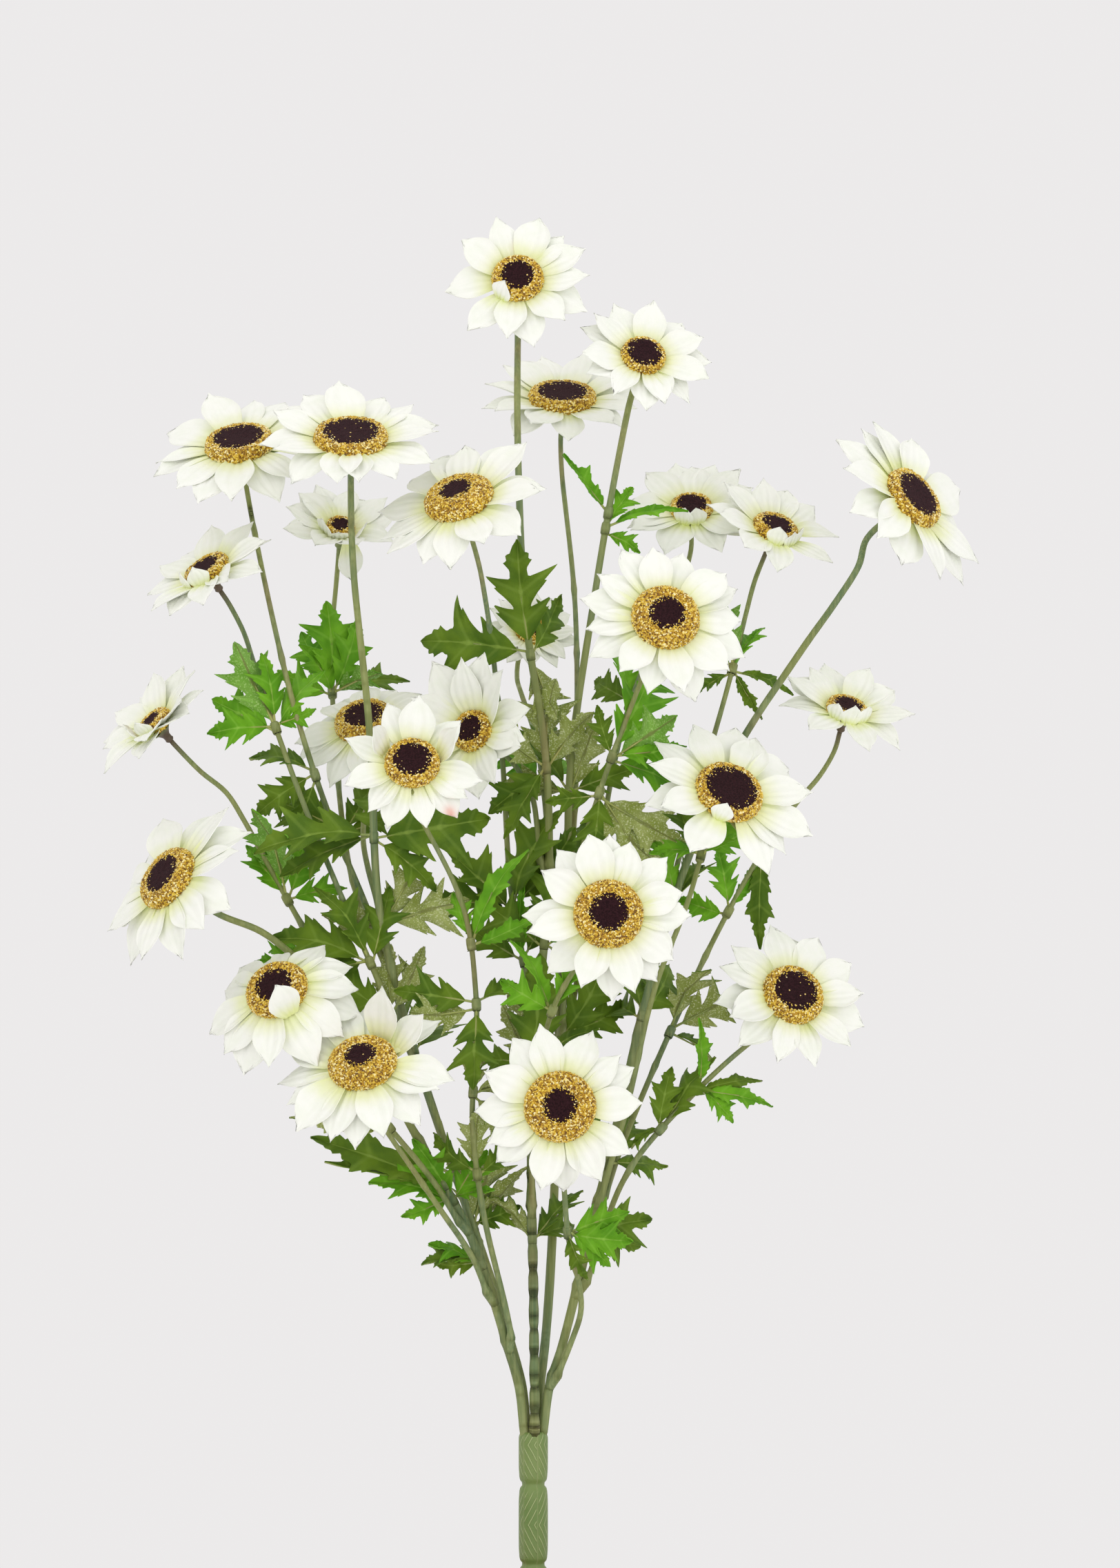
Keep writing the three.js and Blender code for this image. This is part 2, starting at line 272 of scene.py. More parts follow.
# %% Floor
FLOOR_RADIUS = 1.1
FADE_START = 0.35 * FLOOR_RADIUS
FADE_END = 0.95 * FLOOR_RADIUS


def mesh_object(name, bm, finishes):
    """Turns a bmesh into an object at the origin."""
    mesh = bpy.data.meshes.new(name)
    bm.to_mesh(mesh)
    bm.free()
    for finish in finishes:
        mesh.materials.append(finish.material)
    made = bpy.data.objects.new(name, mesh)
    bpy.context.collection.objects.link(made)
    return made


matt = Finish("studio_floor", {"Base Color": SURROUND, "Roughness": 1.0})
from_pot = matt.node("ShaderNodeVectorMath", {"operation": "LENGTH"}, {0: matt.coordinates()}, 1)
clear = matt.node("ShaderNodeBsdfTransparent", {}, {})
fade = from_pot.ramp(FADE_START, FADE_END)
solid = Socket(matt, matt.shader.outputs[0])
blend = matt.node("ShaderNodeMixShader", {}, {0: fade, 1: solid, 2: clear})
matt.join(matt.tree.nodes["Material Output"].inputs["Surface"], blend)
floor_bm = bmesh.new()
bmesh.ops.create_circle(floor_bm, cap_ends=True, segments=96, radius=FLOOR_RADIUS)
mesh_object("studio_floor", floor_bm, [matt])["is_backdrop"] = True
print("floor fades out between", FADE_START, "and", FADE_END, "m from the pot")

# %% [markdown]
# ## Finishes of the flowers
# The petals are cream satin, dyed yellow-green where they meet the disc, and pressed with ribs
# that run to the tip. The pattern follows the petal, so it reads the petal's own UV map: the
# first number runs across, the second from the disc to the tip. The fine ribs are a faint bump
# that fades out before the tip, where the petal grows too narrow for them.

# %% Petal satin
CREAM = (0.90, 0.91, 0.845)
SHADED_CREAM = (0.86, 0.885, 0.79)
FOOT_DYE = (0.76, 0.82, 0.27)
PINK = (0.80, 0.36, 0.27)
RIB_WAVES = 38
petal = Finish("petal_satin", {"Sheen Weight": 0.2, "Sheen Roughness": 0.5})
across, along = petal.uv_parts()
mottle = petal.noise(160, 3)
dye = (1 - along.ramp(0.02, 0.55)) * (0.5 + mottle)
white = petal.mix(mottle.ramp(0.35, 0.75), CREAM, SHADED_CREAM)
dyed = petal.mix(dye * 0.8, white, FOOT_DYE)
petal.set("Base Color", petal.mix(petal.attribute("stain") * 0.8, dyed, PINK))
wander = petal.noise(90, 2) * 5
ribs = (across * RIB_WAVES + wander).sine() * (1 - along.ramp(0.70, 0.96))
petal.bump(ribs, 0.05 * MM, 0.5)
petal.set("Roughness", 0.62 + ribs * 0.06)
petal.tell()

# %% [markdown]
# The gold ring is a crust of crumbs. The crumbs are real geometry, so the finish only gives
# each a colour: Voronoi cells about as large as a crumb pick from dark brown, honey, gold
# and a few pale painted glints. The bed they are glued to shows as a darker gold between them,
# which is painted shade in the gaps.

# %% Gold crumbs
CRUMB_CELLS = 1300.0
GOLD_TONES_AND_GLINTS = [
    (0.0, (0.10, 0.038, 0.003)),
    (0.16, (0.44, 0.235, 0.008)),
    (0.40, (0.68, 0.43, 0.022)),
    (0.74, (0.82, 0.60, 0.070)),
    # Painted glints: the palest crumbs stand in for light caught by the grains.
    (0.93, (0.98, 0.88, 0.48)),
]
gold = Finish("gold_crumbs", {"Roughness": 0.42, "Coat Weight": 0.15})
tone = gold.node("ShaderNodeValToRGB", {"stops": GOLD_TONES_AND_GLINTS}, {0: gold.cell_pick(CRUMB_CELLS)})
gold.set("Base Color", tone)
gold.bump(gold.noise(2600, 2), 0.2 * MM, 0.6)
gold.tell()

bed = Finish("gold_bed", {"Roughness": 0.8})
# Painted shade: the bed is a darker gold for the shade that falls in the gaps between the crumbs.
gap_painted_shade = bed.mix(bed.noise(900, 2).ramp(0.4, 0.6), (0.16, 0.07, 0.008), (0.50, 0.28, 0.020))
bed.set("Base Color", gap_painted_shade)
bed.bump(bed.noise(1500, 2), 0.3 * MM)
bed.tell()

# %% [markdown]
# The eye is flocked: short fibres that drink the light, with a soft sheen at its edge. A few
# gold crumbs have strayed onto it.

# %% Flocked eye
STRAY_CELLS = 420.0
eye_sheen = {"Sheen Weight": 0.10, "Sheen Roughness": 0.4, "Sheen Tint": (0.55, 0.36, 0.38)}
eye = Finish("eye_flock", {"Roughness": 0.95, "Specular IOR Level": 0.15, **eye_sheen})
nap = eye.noise(1400, 3)
fibre = eye.mix(nap.ramp(0.3, 0.7), (0.013, 0.004, 0.005), (0.036, 0.011, 0.014))
stray = (eye.cells(STRAY_CELLS, "Distance") < 0.17) * (eye.cell_pick(STRAY_CELLS) > 0.86)
eye.set("Base Color", eye.mix(stray, fibre, (0.85, 0.62, 0.22)))
eye.bump(nap + eye.noise(4000, 2), 0.4 * MM, 0.8)
eye.tell()

# %% [markdown]
# ## Finishes of the green parts
# The stems are moulded in olive plastic whose colour drifts towards blue-green and brown, with
# a slight shine. An attribute named plum darkens the neck behind some of the small flowers.

# %% Stem plastic
PLUM = (0.085, 0.030, 0.034)
PALE_STREAK = (0.40, 0.42, 0.17)


def plastic_finish(name, base, cool, warm):
    """Plastic whose three colours drift along the stem, with fine streaks."""
    finish = Finish(name, {"Specular IOR Level": 0.45})
    drift = finish.noise(38, 2, (1, 1, 0.35))
    cooled = finish.mix(drift.ramp(0.38, 0.66), base, cool)
    warmed = finish.mix(finish.noise(55, 2, (1, 1, 0.3)).ramp(0.56, 0.72) * 0.7, cooled, warm)
    streak = finish.noise(900, 2, (1, 1, 0.04))
    shaded = finish.mix(streak.ramp(0.35, 0.75) * 0.4, warmed, PALE_STREAK)
    finish.set("Base Color", finish.mix(finish.attribute("plum"), shaded, PLUM))
    finish.set("Roughness", 0.38 + streak * 0.25)
    finish.bump(streak + finish.noise(500, 2) * 0.5, 0.25 * MM, 0.5)
    finish.tell()
    return finish


stem_shades = [(0.235, 0.270, 0.080), (0.120, 0.190, 0.080), (0.270, 0.215, 0.085)]
stem_finish = plastic_finish("stem_plastic", *stem_shades)
wire_shades = [(0.36, 0.40, 0.10), (0.24, 0.31, 0.08), (0.46, 0.42, 0.13)]
wire_finish = plastic_finish("stalk_plastic", *wire_shades)

# %% [markdown]
# The trunk has slanting ridges in upright panels, which turn back half way up each barrel. The
# panel comes from the angle round the trunk, and the ridge from the height plus a share of the
# way across the panel. The same mask raises the bump and pales the colour. The paler ridges and
# the paler seams between panels are painted highlight, standing in for the light they catch.

# %% Trunk plastic
PANELS = 6
PANEL_TURN = 0.2
PANEL_STAGGER = 0.37
PANEL_WIDTH = 6.6 * MM
RIDGE_PITCH = 5.2 * MM
RIDGE_SLOPE = 1.9


def trunk_finish(first_waist, barrel):
    """Ridged plastic, given the height of the lowest waist and the length of a barrel."""
    finish = Finish("trunk_plastic", {"Specular IOR Level": 0.45})
    x, y, z = finish.parts(finish.coordinates(), 3)
    panel = finish.angle(y, x) * (PANELS / math.tau) + PANEL_TURN
    across = panel % 1
    from_middle = abs(((z - first_waist) / barrel) % 1 - 0.5) * barrel
    step = (panel - across) * PANEL_STAGGER * RIDGE_PITCH
    wander = finish.noise(120, 2) * 1.2 * MM
    phase = (from_middle - across * PANEL_WIDTH * RIDGE_SLOPE + step + wander) / RIDGE_PITCH
    inside = 1 - abs(across - 0.5).ramp(0.40, 0.47)
    short_of_waist = 1 - from_middle.ramp(barrel / 2 - 5 * MM, barrel / 2 - 2 * MM)
    ridge = (1 - abs(phase % 1 - 0.5).ramp(0.06, 0.16)) * inside * short_of_waist
    seam = abs(across - 0.5).ramp(0.45, 0.5)
    drift = finish.noise(60, 3, (1, 1, 0.4)).ramp(0.35, 0.7)
    body = finish.mix(drift, (0.150, 0.235, 0.058), (0.235, 0.300, 0.095))
    dark = finish.mix(inside * 0.35, body, (0.105, 0.190, 0.030))
    # Painted highlight: the ridges and the seams get a paler green for the light they catch.
    pale = finish.mix(ridge * 0.75 + seam * 0.30, dark, (0.40, 0.48, 0.20))
    finish.set("Base Color", pale)
    finish.set("Roughness", 0.42 - ridge * 0.1)
    finish.bump(ridge + seam * 0.5 + finish.noise(500, 2) * 0.25, 0.45 * MM, 0.8)
    finish.tell()
    return finish


# %% [markdown]
# The leaves are printed on woven cloth. Tops are bright or olive green with a paler midrib and
# side veins, and undersides are pale and coarse, with painted glints on their threads. The lobes
# of a leaf lie at even steps of its UV map, so the veins can be found there too.

# %% Leaf cloth
LOBE_REACH = 0.30
VEIN_PLACE = 0.60
UNDER_MIDRIB = (0.23, 0.25, 0.06)


def midrib_mask(across, half_width, soft_half_width):
    return 1 - abs(across - 0.5).ramp(half_width, soft_half_width)


def weave(across, along):
    """The threads of the cloth, as waves that cross."""
    return (across * 300).sine() * (along * 420).sine()


def leaf_finish(name, deep, light, vein):
    """The printed top of a leaf."""
    finish = Finish(name, {"Roughness": 0.55, "Specular IOR Level": 0.28})
    across, along = finish.uv_parts()
    patch = finish.noise(75, 3)
    cloth = finish.mix(patch.ramp(0.3, 0.7), deep, light)
    side = 1 - abs((along / LOBE_REACH) % 1 - VEIN_PLACE).ramp(0.02, 0.10)
    veins = midrib_mask(across, 0.012, 0.045) + side * 0.35
    finish.set("Base Color", finish.mix(veins * 0.75, cloth, vein))
    finish.bump(weave(across, along) * 0.25 + veins + finish.noise(400, 2) * 0.6, 0.3 * MM, 0.6)
    finish.tell()
    return finish


def underside_finish(name, deep, light, glint_colour):
    """The pale back of a leaf, with painted glints on its threads."""
    finish = Finish(name, {"Roughness": 0.6})
    across, along = finish.uv_parts()
    # Painted glints: pale specks stand in for light caught by the threads.
    painted_glints = finish.noise(1300, 2).ramp(0.52, 0.66)
    patch = finish.noise(90, 3).ramp(0.3, 0.7)
    cloth = finish.mix(patch, deep, light)
    lit = finish.mix(painted_glints * 0.8, cloth, glint_colour)
    middle = midrib_mask(across, 0.015, 0.06)
    finish.set("Base Color", finish.mix(middle * 0.8, lit, UNDER_MIDRIB))
    finish.bump(weave(across, along) * 0.5 + middle + finish.noise(900, 2), 0.4 * MM, 0.7)
    finish.tell()
    return finish


leaf_tops = {
    "bright": leaf_finish("leaf_bright", (0.095, 0.31, 0.003), (0.19, 0.48, 0.014), (0.28, 0.55, 0.06)),
    "olive": leaf_finish("leaf_olive", (0.070, 0.150, 0.003), (0.15, 0.255, 0.010), (0.24, 0.36, 0.05)),
}
# The third colour of each underside is its painted glint.
leaf_undersides = {
    "bright": underside_finish("under_bright", (0.18, 0.45, 0.03), (0.28, 0.57, 0.08), (0.52, 0.78, 0.24)),
    "olive": underside_finish("under_olive", (0.34, 0.42, 0.07), (0.52, 0.60, 0.18), (0.88, 0.93, 0.56)),
}

# %% [markdown]
# ## Putting a piece in place
# Every finished piece rides on the one body and hides the solids it stands for. Its place is in
# its mesh, and its object stays at the origin.
# The open edges of cloth are marked sharp, or they would be shaded as if they were rounded.

# %% Finished pieces
def make_piece(name, bm, finishes, nodes, record_slot):
    """Turns a bmesh into a finished piece that stands for the given solids."""
    for edge in bm.edges:
        edge.smooth = not edge.is_boundary
    piece = mesh_object(name, bm, finishes)
    piece.data.shade_smooth()
    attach(piece, "root")
    if nodes:
        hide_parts(*nodes)
    return piece


def give_thickness(piece, thickness, offset=0.0, underside_slot=0):
    """Adds a wall: offset 0 grows it both ways, -1 only behind the faces."""
    solidify = piece.modifiers.new("thickness", "SOLIDIFY")
    solidify.thickness = thickness
    solidify.offset = offset
    solidify.material_offset = underside_slot
    solidify.use_quality_normals = True


# %% [markdown]
# ## Reading the stems from the solids
# A stem's solid is a tube with six-sided rings far apart. The points of one ring lie within a
# few millimetres of each other, so gathering near points gives the rings, and the rings' middles
# in order of height give the line of the stem. A smooth curve through them has points as close
# together as a fine surface needs.

# %% Rings of a stem
RING_REACH = 6 * MM


def solid_points(node):
    """The places of a solid's corners, each once."""
    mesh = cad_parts[node].data
    points = np.array([vert.co for vert in mesh.vertices])
    return np.unique(points.round(6), axis=0)


def stem_line(node):
    """Middles and radii of a stem solid's rings, from the lowest up."""
    left = solid_points(node)
    middles = []
    while len(left):
        near = np.linalg.norm(left - left[0], axis=1) < RING_REACH
        ring = left[near]
        left = left[~near]
        middle = ring.mean(axis=0)
        middles.append((middle, np.linalg.norm(ring - middle, axis=1).max()))
    middles.sort(key=lambda pair: pair[0][2])
    return [Vector(middle) for middle, _ in middles], [radius for _, radius in middles]


# %% Smooth lines
def smooth_line(points, step):
    """Points about one step apart on a smooth curve through the given ones."""
    ends = [2 * points[0] - points[1], *points, 2 * points[-1] - points[-2]]
    line = []
    for before, start, stop, after in zip(ends, ends[1:], ends[2:], ends[3:]):
        enter = (stop - before) / 2
        leave = (after - start) / 2
        count = max(1, round((stop - start).length / step))
        for n in range(count):
            t = n / count
            blend = t * t * (3 - 2 * t)
            swing = enter * t * (1 - t) ** 2 - leave * t * t * (1 - t)
            line.append(start.lerp(stop, blend) + swing)
    line.append(points[-1].copy())
    return line


def point_at_height(line, height):
    """The place and direction where a rising line reaches a height."""
    for start, stop in zip(line, line[1:]):
        if start.z <= height <= stop.z:
            share = (height - start.z) / max(stop.z - start.z, 1e-9)
            return start.lerp(stop, share), (stop - start).normalized()
    end = min((line[0], line[-1]), key=lambda point: abs(point.z - height))
    return end.copy(), (line[-1] - line[-2]).normalized()


# %% Read every stem
MAIN_STEMS = [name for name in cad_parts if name.startswith("main_stem")]
SIDE_STEMS = [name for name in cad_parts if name.startswith("flower_stem")]
STEP = 3 * MM
lines = {}
radii = {}
for node in MAIN_STEMS + SIDE_STEMS:
    middles, ring_radii = stem_line(node)
    lines[node] = smooth_line(middles, STEP)
    radii[node] = (ring_radii[0], ring_radii[-1])
longest = max(len(line) for line in lines.values()) * STEP / MM
print("stems read:", len(lines), "longest in mm:", round(longest))

# %% [markdown]
# ## Sweeping a ribbed stem
# A curve with a bevel would make a round tube. The real stems are ribbed and swell at their
# joints, so a ribbed disc is extruded along the line instead, and each new ring is laid on the
# next stretch of the line at its own size. What is round about one axis, such as the pot, the
# trunk and the discs of the flowers, is a profile spun about that axis.

# %% Sweep
def ring_place(line, n, radius):
    """Where ring n lies, as a matrix from a unit circle."""
    direction = (line[min(n + 1, len(line) - 1)] - line[max(n - 1, 0)]).normalized()
    side = direction.cross(VIEWER).normalized()
    turn = Matrix((side, direction.cross(side), direction)).transposed().to_4x4()
    return Matrix.Translation(line[n]) @ turn @ Matrix.Scale(radius, 4)


def sweep(bm, line, sizes, ribs=8, rib_depth=0.10):
    """Adds a closed ribbed tube along a line."""
    circle = bmesh.ops.create_circle(bm, cap_ends=True, segments=2 * ribs, radius=1)["verts"]
    for vert in circle[::2]:
        vert.co *= 1 - rib_depth
    face = circle[0].link_faces[0]
    place = ring_place(line, 0, sizes[0])
    bmesh.ops.transform(bm, matrix=place, verts=circle)
    made = set(circle)
    for n in range(1, len(line)):
        extruded = bmesh.ops.extrude_face_region(bm, geom=[face])["geom"]
        face = next(part for part in extruded if isinstance(part, bmesh.types.BMFace))
        following = ring_place(line, n, sizes[n])
        bmesh.ops.transform(bm, matrix=following @ place.inverted(), verts=face.verts)
        made.update(face.verts)
        place = following
    faces = {face for vert in made for face in vert.link_faces}
    bmesh.ops.recalc_face_normals(bm, faces=list(faces))


# %% Spin
def spin_profile(bm, profile, segments):
    """Spins a profile of (radius, height) round Z. Points on the axis are joined up."""
    before = set(bm.verts)
    made = [bmesh.ops.create_vert(bm, co=(radius, 0, height)) for radius, height in profile]
    verts = [result["vert"][0] for result in made]
    edges = [bm.edges.new(pair) for pair in zip(verts, verts[1:])]
    turned = {"cent": (0, 0, 0), "axis": (0, 0, 1), "angle": math.tau, "steps": segments}
    bmesh.ops.spin(bm, geom=verts + edges, use_merge=True, use_duplicate=False, **turned)
    spun = [vert for vert in bm.verts if vert not in before]
    bmesh.ops.remove_doubles(bm, verts=spun, dist=0.01 * MM)
    faces = {face for vert in bm.verts if vert not in before for face in vert.link_faces}
    bmesh.ops.recalc_face_normals(bm, faces=list(faces))


# %% [markdown]
# ## Stems
# A main stem is moulded with a small collar wherever a side stem is plugged in, and the centre
# one starts as a string of short beads. A side stem begins inside its socket, a flared sleeve
# on the main stem. The necks of some small flowers are plum coloured.

# %% Stem sizes
COLLAR = 2.5 * MM
COLLAR_SWELLING = 0.28
BEAD = 13 * MM
BEADS_END = 330 * MM
BEADED_STEM = "main_stem_centre"
JOINT_GAP = (60, 80)         # mm
BARE_END = 8                 # points before a flower that have no joint
SOCKET_FLARES = (1.55, 1.5, 1.5, 1.6, 1.15)
FOOT_IN_TRUNK = 7 * MM
PLUM_NECKS = ("02", "08", "10", "14", "18")
PLUM_LENGTH = 12 * MM


def swell(distance, reach, amount):
    """A smooth swelling round a place."""
    return 1 + amount * math.exp(-((distance / reach) ** 2))


def stem_sizes(line, start_radius, end_radius, collars, beaded, rng):
    """The radius at each point of a stem."""
    sizes = []
    for n, point in enumerate(line):
        share = n / (len(line) - 1)
        size = start_radius + (end_radius - start_radius) * share
        for collar in collars:
            size *= swell(n * STEP - collar, COLLAR, COLLAR_SWELLING)
        if beaded and point.z < BEADS_END:
            size *= 1.12 - 0.24 * abs(math.cos(math.pi * point.z / BEAD)) ** 7
        size *= 1 + 0.05 * (noise.noise(point * 45) + rng.uniform(-0.3, 0.3))
        sizes.append(size)
    return sizes


def paint(bm, name, amount):
    """Stores a number on every vertex, for a finish to read."""
    layer = bm.verts.layers.float.new(name)
    for vert in bm.verts:
        vert[layer] = amount(vert.co)


def nearest_main(point):
    """The main stem point that is nearest to a side stem's start."""
    places = [(node, n) for node in MAIN_STEMS for n in range(len(lines[node]))]
    return min(places, key=lambda place: (lines[place[0]][place[1]] - point).length)


# %% Plug the side stems in
forks = {node: [] for node in MAIN_STEMS}
for node in SIDE_STEMS:
    main, n = nearest_main(lines[node][0])
    forks[main].append(n * STEP)
    foot = lines[main][max(n - 3, 0)]
    socket_start = [foot, foot.lerp(lines[node][0], 0.55)]
    lines[node] = smooth_line([*socket_start, *lines[node][::5], lines[node][-1]], STEP)
print("side stems on each main stem:", {main: len(starts) for main, starts in forks.items()})

# %% Build the stems
for node in MAIN_STEMS + SIDE_STEMS:
    rng = random.Random(node)
    line = lines[node]
    start_radius, end_radius = radii[node]
    joints = [rng.uniform(*JOINT_GAP) * MM * k for k in range(1, 6)]
    if node in MAIN_STEMS:
        down = Vector((line[0].x * 0.5, line[0].y * 0.5, line[0].z - FOOT_IN_TRUNK))
        line = [down, *line]
        collars = forks[node]
    else:
        last_joint = (len(line) - BARE_END) * STEP
        collars = [2.2 * STEP, *(joint for joint in joints if joint < last_joint)]
    sizes = stem_sizes(line, start_radius, end_radius, collars, node == BEADED_STEM, rng)
    if node in SIDE_STEMS:
        sizes[:len(SOCKET_FLARES)] = [start_radius * flare for flare in SOCKET_FLARES]
    stem_bm = bmesh.new()
    sweep(stem_bm, line, sizes)
    tip = line[-1]
    darkness = 0.85 if node.endswith((*PLUM_NECKS, "centre_right")) else 0.0
    paint(stem_bm, "plum", lambda co: darkness * max(0, 1 - (co - tip).length / PLUM_LENGTH))
    make_piece(f"stem_{node}", stem_bm, [stem_finish], [node], "stem_plastic")
print("stems made:", len(lines))

# %% [markdown]
# ## Trunk
# The trunk is a row of barrel-shaped lengths with a tight waist between them. The waists are
# where the trunk's solid is narrowest. Its side is a profile spun round the axis, and a formula
# for the radius gives the profile. The herringbone on it is too fine for vertices, so the finish
# presses it in, and needs to know where the barrels are.

# %% Trunk radius
TRUNK_STEP = 1.2 * MM
trunk_points = solid_points("trunk")
trunk_low, trunk_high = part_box("trunk")
reach = np.hypot(trunk_points[:, 0], trunk_points[:, 1])
TRUNK_RADIUS = reach.max()
waists = sorted(set(trunk_points[(reach > 1 * MM) & (reach < 0.9 * TRUNK_RADIUS)][:, 2].round(4)))
BARREL = waists[-1] - waists[-2]
print("trunk waists at mm:", [round(level / MM) for level in waists])


def trunk_reach(height):
    """Radius of the trunk's surface."""
    waist = min(abs(height - level) for level in waists)
    waist_cut = 0.20 * math.exp(-((waist / (1.3 * MM)) ** 2))
    barrel = 1 - waist_cut - 0.07 * math.exp(-((waist / (5 * MM)) ** 2))
    shoulder = 1 - 0.16 * max(0.0, 1 - (trunk_high.z - height) / (3 * MM)) ** 2
    return 0.985 * TRUNK_RADIUS * barrel * shoulder


# %% Turn the trunk
trunk_bm = bmesh.new()
rings = round((trunk_high.z - trunk_low.z) / TRUNK_STEP)
levels = [trunk_low.z + (trunk_high.z - trunk_low.z) * n / rings for n in range(rings + 1)]
trunk_side = [(trunk_reach(level), level) for level in levels]
spin_profile(trunk_bm, [(0, levels[0]), *trunk_side, (0, levels[-1])], 48)
for vert in trunk_bm.verts:
    vert.co.xy *= 1 + 0.012 * math.cos(PANELS * math.atan2(vert.co.y, vert.co.x))
paint(trunk_bm, "plum", lambda co: 0)
make_piece("moulded_trunk", trunk_bm, [trunk_finish(waists[0], BARREL)], ["trunk"], "stem_plastic")
print("rings up the trunk:", rings)

# %% [markdown]
# ## Reading the flowers from the solids
# A flower's solid is turned about the way it faces, and it is much wider than deep. So the
# direction in which its points spread least is its axis. The stem meets its back, which tells
# the two ends of the axis apart, and the foot of its calyx gives the height of its petals.

# %% Flower places
CALYX_LENGTH = 9 * MM
flower_numbers = sorted(name[-2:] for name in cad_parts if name.startswith("flower_head"))
stem_tips = [line[-1] for line in lines.values()]


def flower_place(number):
    """A matrix that lays a flower, made facing +Z with its top towards +Y, on its stem."""
    points = solid_points(f"flower_head_{number}")
    middle = points.mean(axis=0)
    _, directions = np.linalg.eigh(np.cov((points - middle).T))
    axis = Vector(directions[:, 0])
    tip = min(stem_tips, key=lambda place: (place - Vector(middle)).length)
    if axis.dot(tip - Vector(middle)) > 0:
        axis.negate()
    heights = (points - middle) @ np.array(axis)
    centre = Vector(middle) + axis * (heights.min() + CALYX_LENGTH)
    side = UP.cross(axis).normalized()
    turn = Matrix((side, axis.cross(side), axis)).transposed().to_4x4()
    return Matrix.Translation(centre) @ turn


places = {number: flower_place(number) for number in flower_numbers}
print("flowers read:", len(places))

# %% [markdown]
# ## What differs from flower to flower
# Each flower is given its width over the petals, the widths of its gold ring and dark eye, how
# far its petals rise, and how much more the upper ones rise than the lower ones. All widths are
# in millimetres and all angles in degrees. Some flowers have short petals that stand up in front
# of the disc by themselves, and a few petals have a small pink stain.

# %% Flower table
FLOWER_SIZES = {
    # number: (width, ring, eye, disc height, rise, lean)
    "01": (65, 23, 16, 5.5, 8, 2),
    "02": (61, 20, 17, 5.0, 16, 0),
    "03": (72, 31, 24, 5.5, 12, 10),
    "04": (80, 31, 24, 6.0, 2, 14),
    "05": (78, 33, 26, 5.5, 13, 3),
    "06": (50, 13, 9, 4.5, 27, -8),
    "07": (78, 31, 16, 8.0, 1, 13),
    "08": (65, 22, 15, 5.0, 14, -4),
    "09": (62, 19, 15, 5.0, 14, 0),
    "10": (63, 21, 15, 5.0, 15, 4),
    "11": (85, 30, 24, 5.5, 1, 0),
    "12": (74, 30, 17, 7.0, 2, 0),
    "13": (44, 15, 9, 4.5, 18, 0),
    "14": (58, 17, 10, 4.5, 20, 0),
    "15": (68, 27, 19, 7.0, -10, 0),
    "16": (60, 24, 18, 5.5, 8, 22),
    "17": (62, 19, 13, 5.5, 28, 14),
    "18": (60, 19, 14, 5.0, 17, 4),
    "19": (79, 31, 25, 5.5, 4, 0),
    "20": (81, 30, 20, 6.5, -2, 4),
    "21": (71, 30, 18, 7.0, 2, 0),
    "22": (75, 28, 18, 6.5, -20, -8),
    "23": (70, 28, 21, 6.0, 4, 0),
    "24": (78, 30, 15, 8.0, -2, 12),
    "25": (73, 31, 16, 7.0, 1, 4),
}
# number: (angle round the flower, rise, share of the length, how far it curls over the disc)
STANDING_PETALS = {
    "01": [(-128, 78, 0.46, 75)],
    "06": [(-95, 62, 0.45, 15), (-35, 58, 0.60, 10), (-150, 66, 0.65, 20), (-66, -74, 1.0, 6)],
    "08": [(-60, 84, 0.48, 10), (-108, 80, 0.42, 25)],
    "09": [(-75, 88, 0.40, 15), (-112, 84, 0.42, 10)],
    "10": [(-115, 84, 0.42, 25), (-78, 86, 0.36, 10), (-42, 80, 0.36, 15)],
    "14": [(-60, 84, 0.45, 15), (-110, 70, 0.50, 25)],
    "16": [(150, 66, 0.9, 10), (20, 58, 0.9, 10)],
    "18": [(-108, 84, 0.48, 15), (-66, 82, 0.44, 10), (-148, 74, 0.40, 25)],
    "19": [(-122, 74, 0.36, 70)],
    "22": [(-50, 84, 0.66, 45)],
    "24": [(72, 66, 1.0, 12), (38, 40, 0.8, 10)],
}
# number: (angle round the flower, share of the petals' length, whether both rows are stained)
STAINED = {"01": (85, 0.35, False), "16": (-50, 0.80, True), "05": (-88, 0.1, False)}

# %% [markdown]
# ## Petals
# A petal starts as a flat grid. A formula then bends it: it leaves the disc at its own slope,
# curls along its length, folds along its middle, and has four furrows pressed between its ribs.
# Its sides draw in to a point, some ends are notched, and its edge is a little uneven. Two rows
# of petals stand round each disc, the inner one smaller and steeper. No two petals are alike,
# but the same seed gives the same flower each time.

# %% One petal
PETAL_ACROSS = 16
PETAL_ALONG = 13
RIB_HEIGHT = 0.36 * MM
NOTCH = 0.09
NOTCHED_SHARE = 0.22


def lay_grid(bm, across, along, shape):
    """A grid whose points are moved by shape(side, reach): side -1 to 1, reach 0 to 1."""
    grid = bmesh.ops.create_grid(bm, x_segments=across, y_segments=along, size=1, calc_uvs=True)
    for vert in grid["verts"]:
        vert.co = shape(vert.co.x, (vert.co.y + 1) / 2)
    return grid["verts"]


def petal_half_width(reach, blunt):
    """Share of the full half width: a narrow foot, widest about the middle, then drawn in."""
    swelling = 0.42 + 0.58 * math.sin(min(reach / 0.60, 1) * math.pi / 2)
    past_middle = max(0.0, reach - 0.5) / 0.5
    drawn_in = (1 - past_middle ** (1.6 + 0.9 * blunt)) ** 0.85
    return swelling * max(0.05, drawn_in)


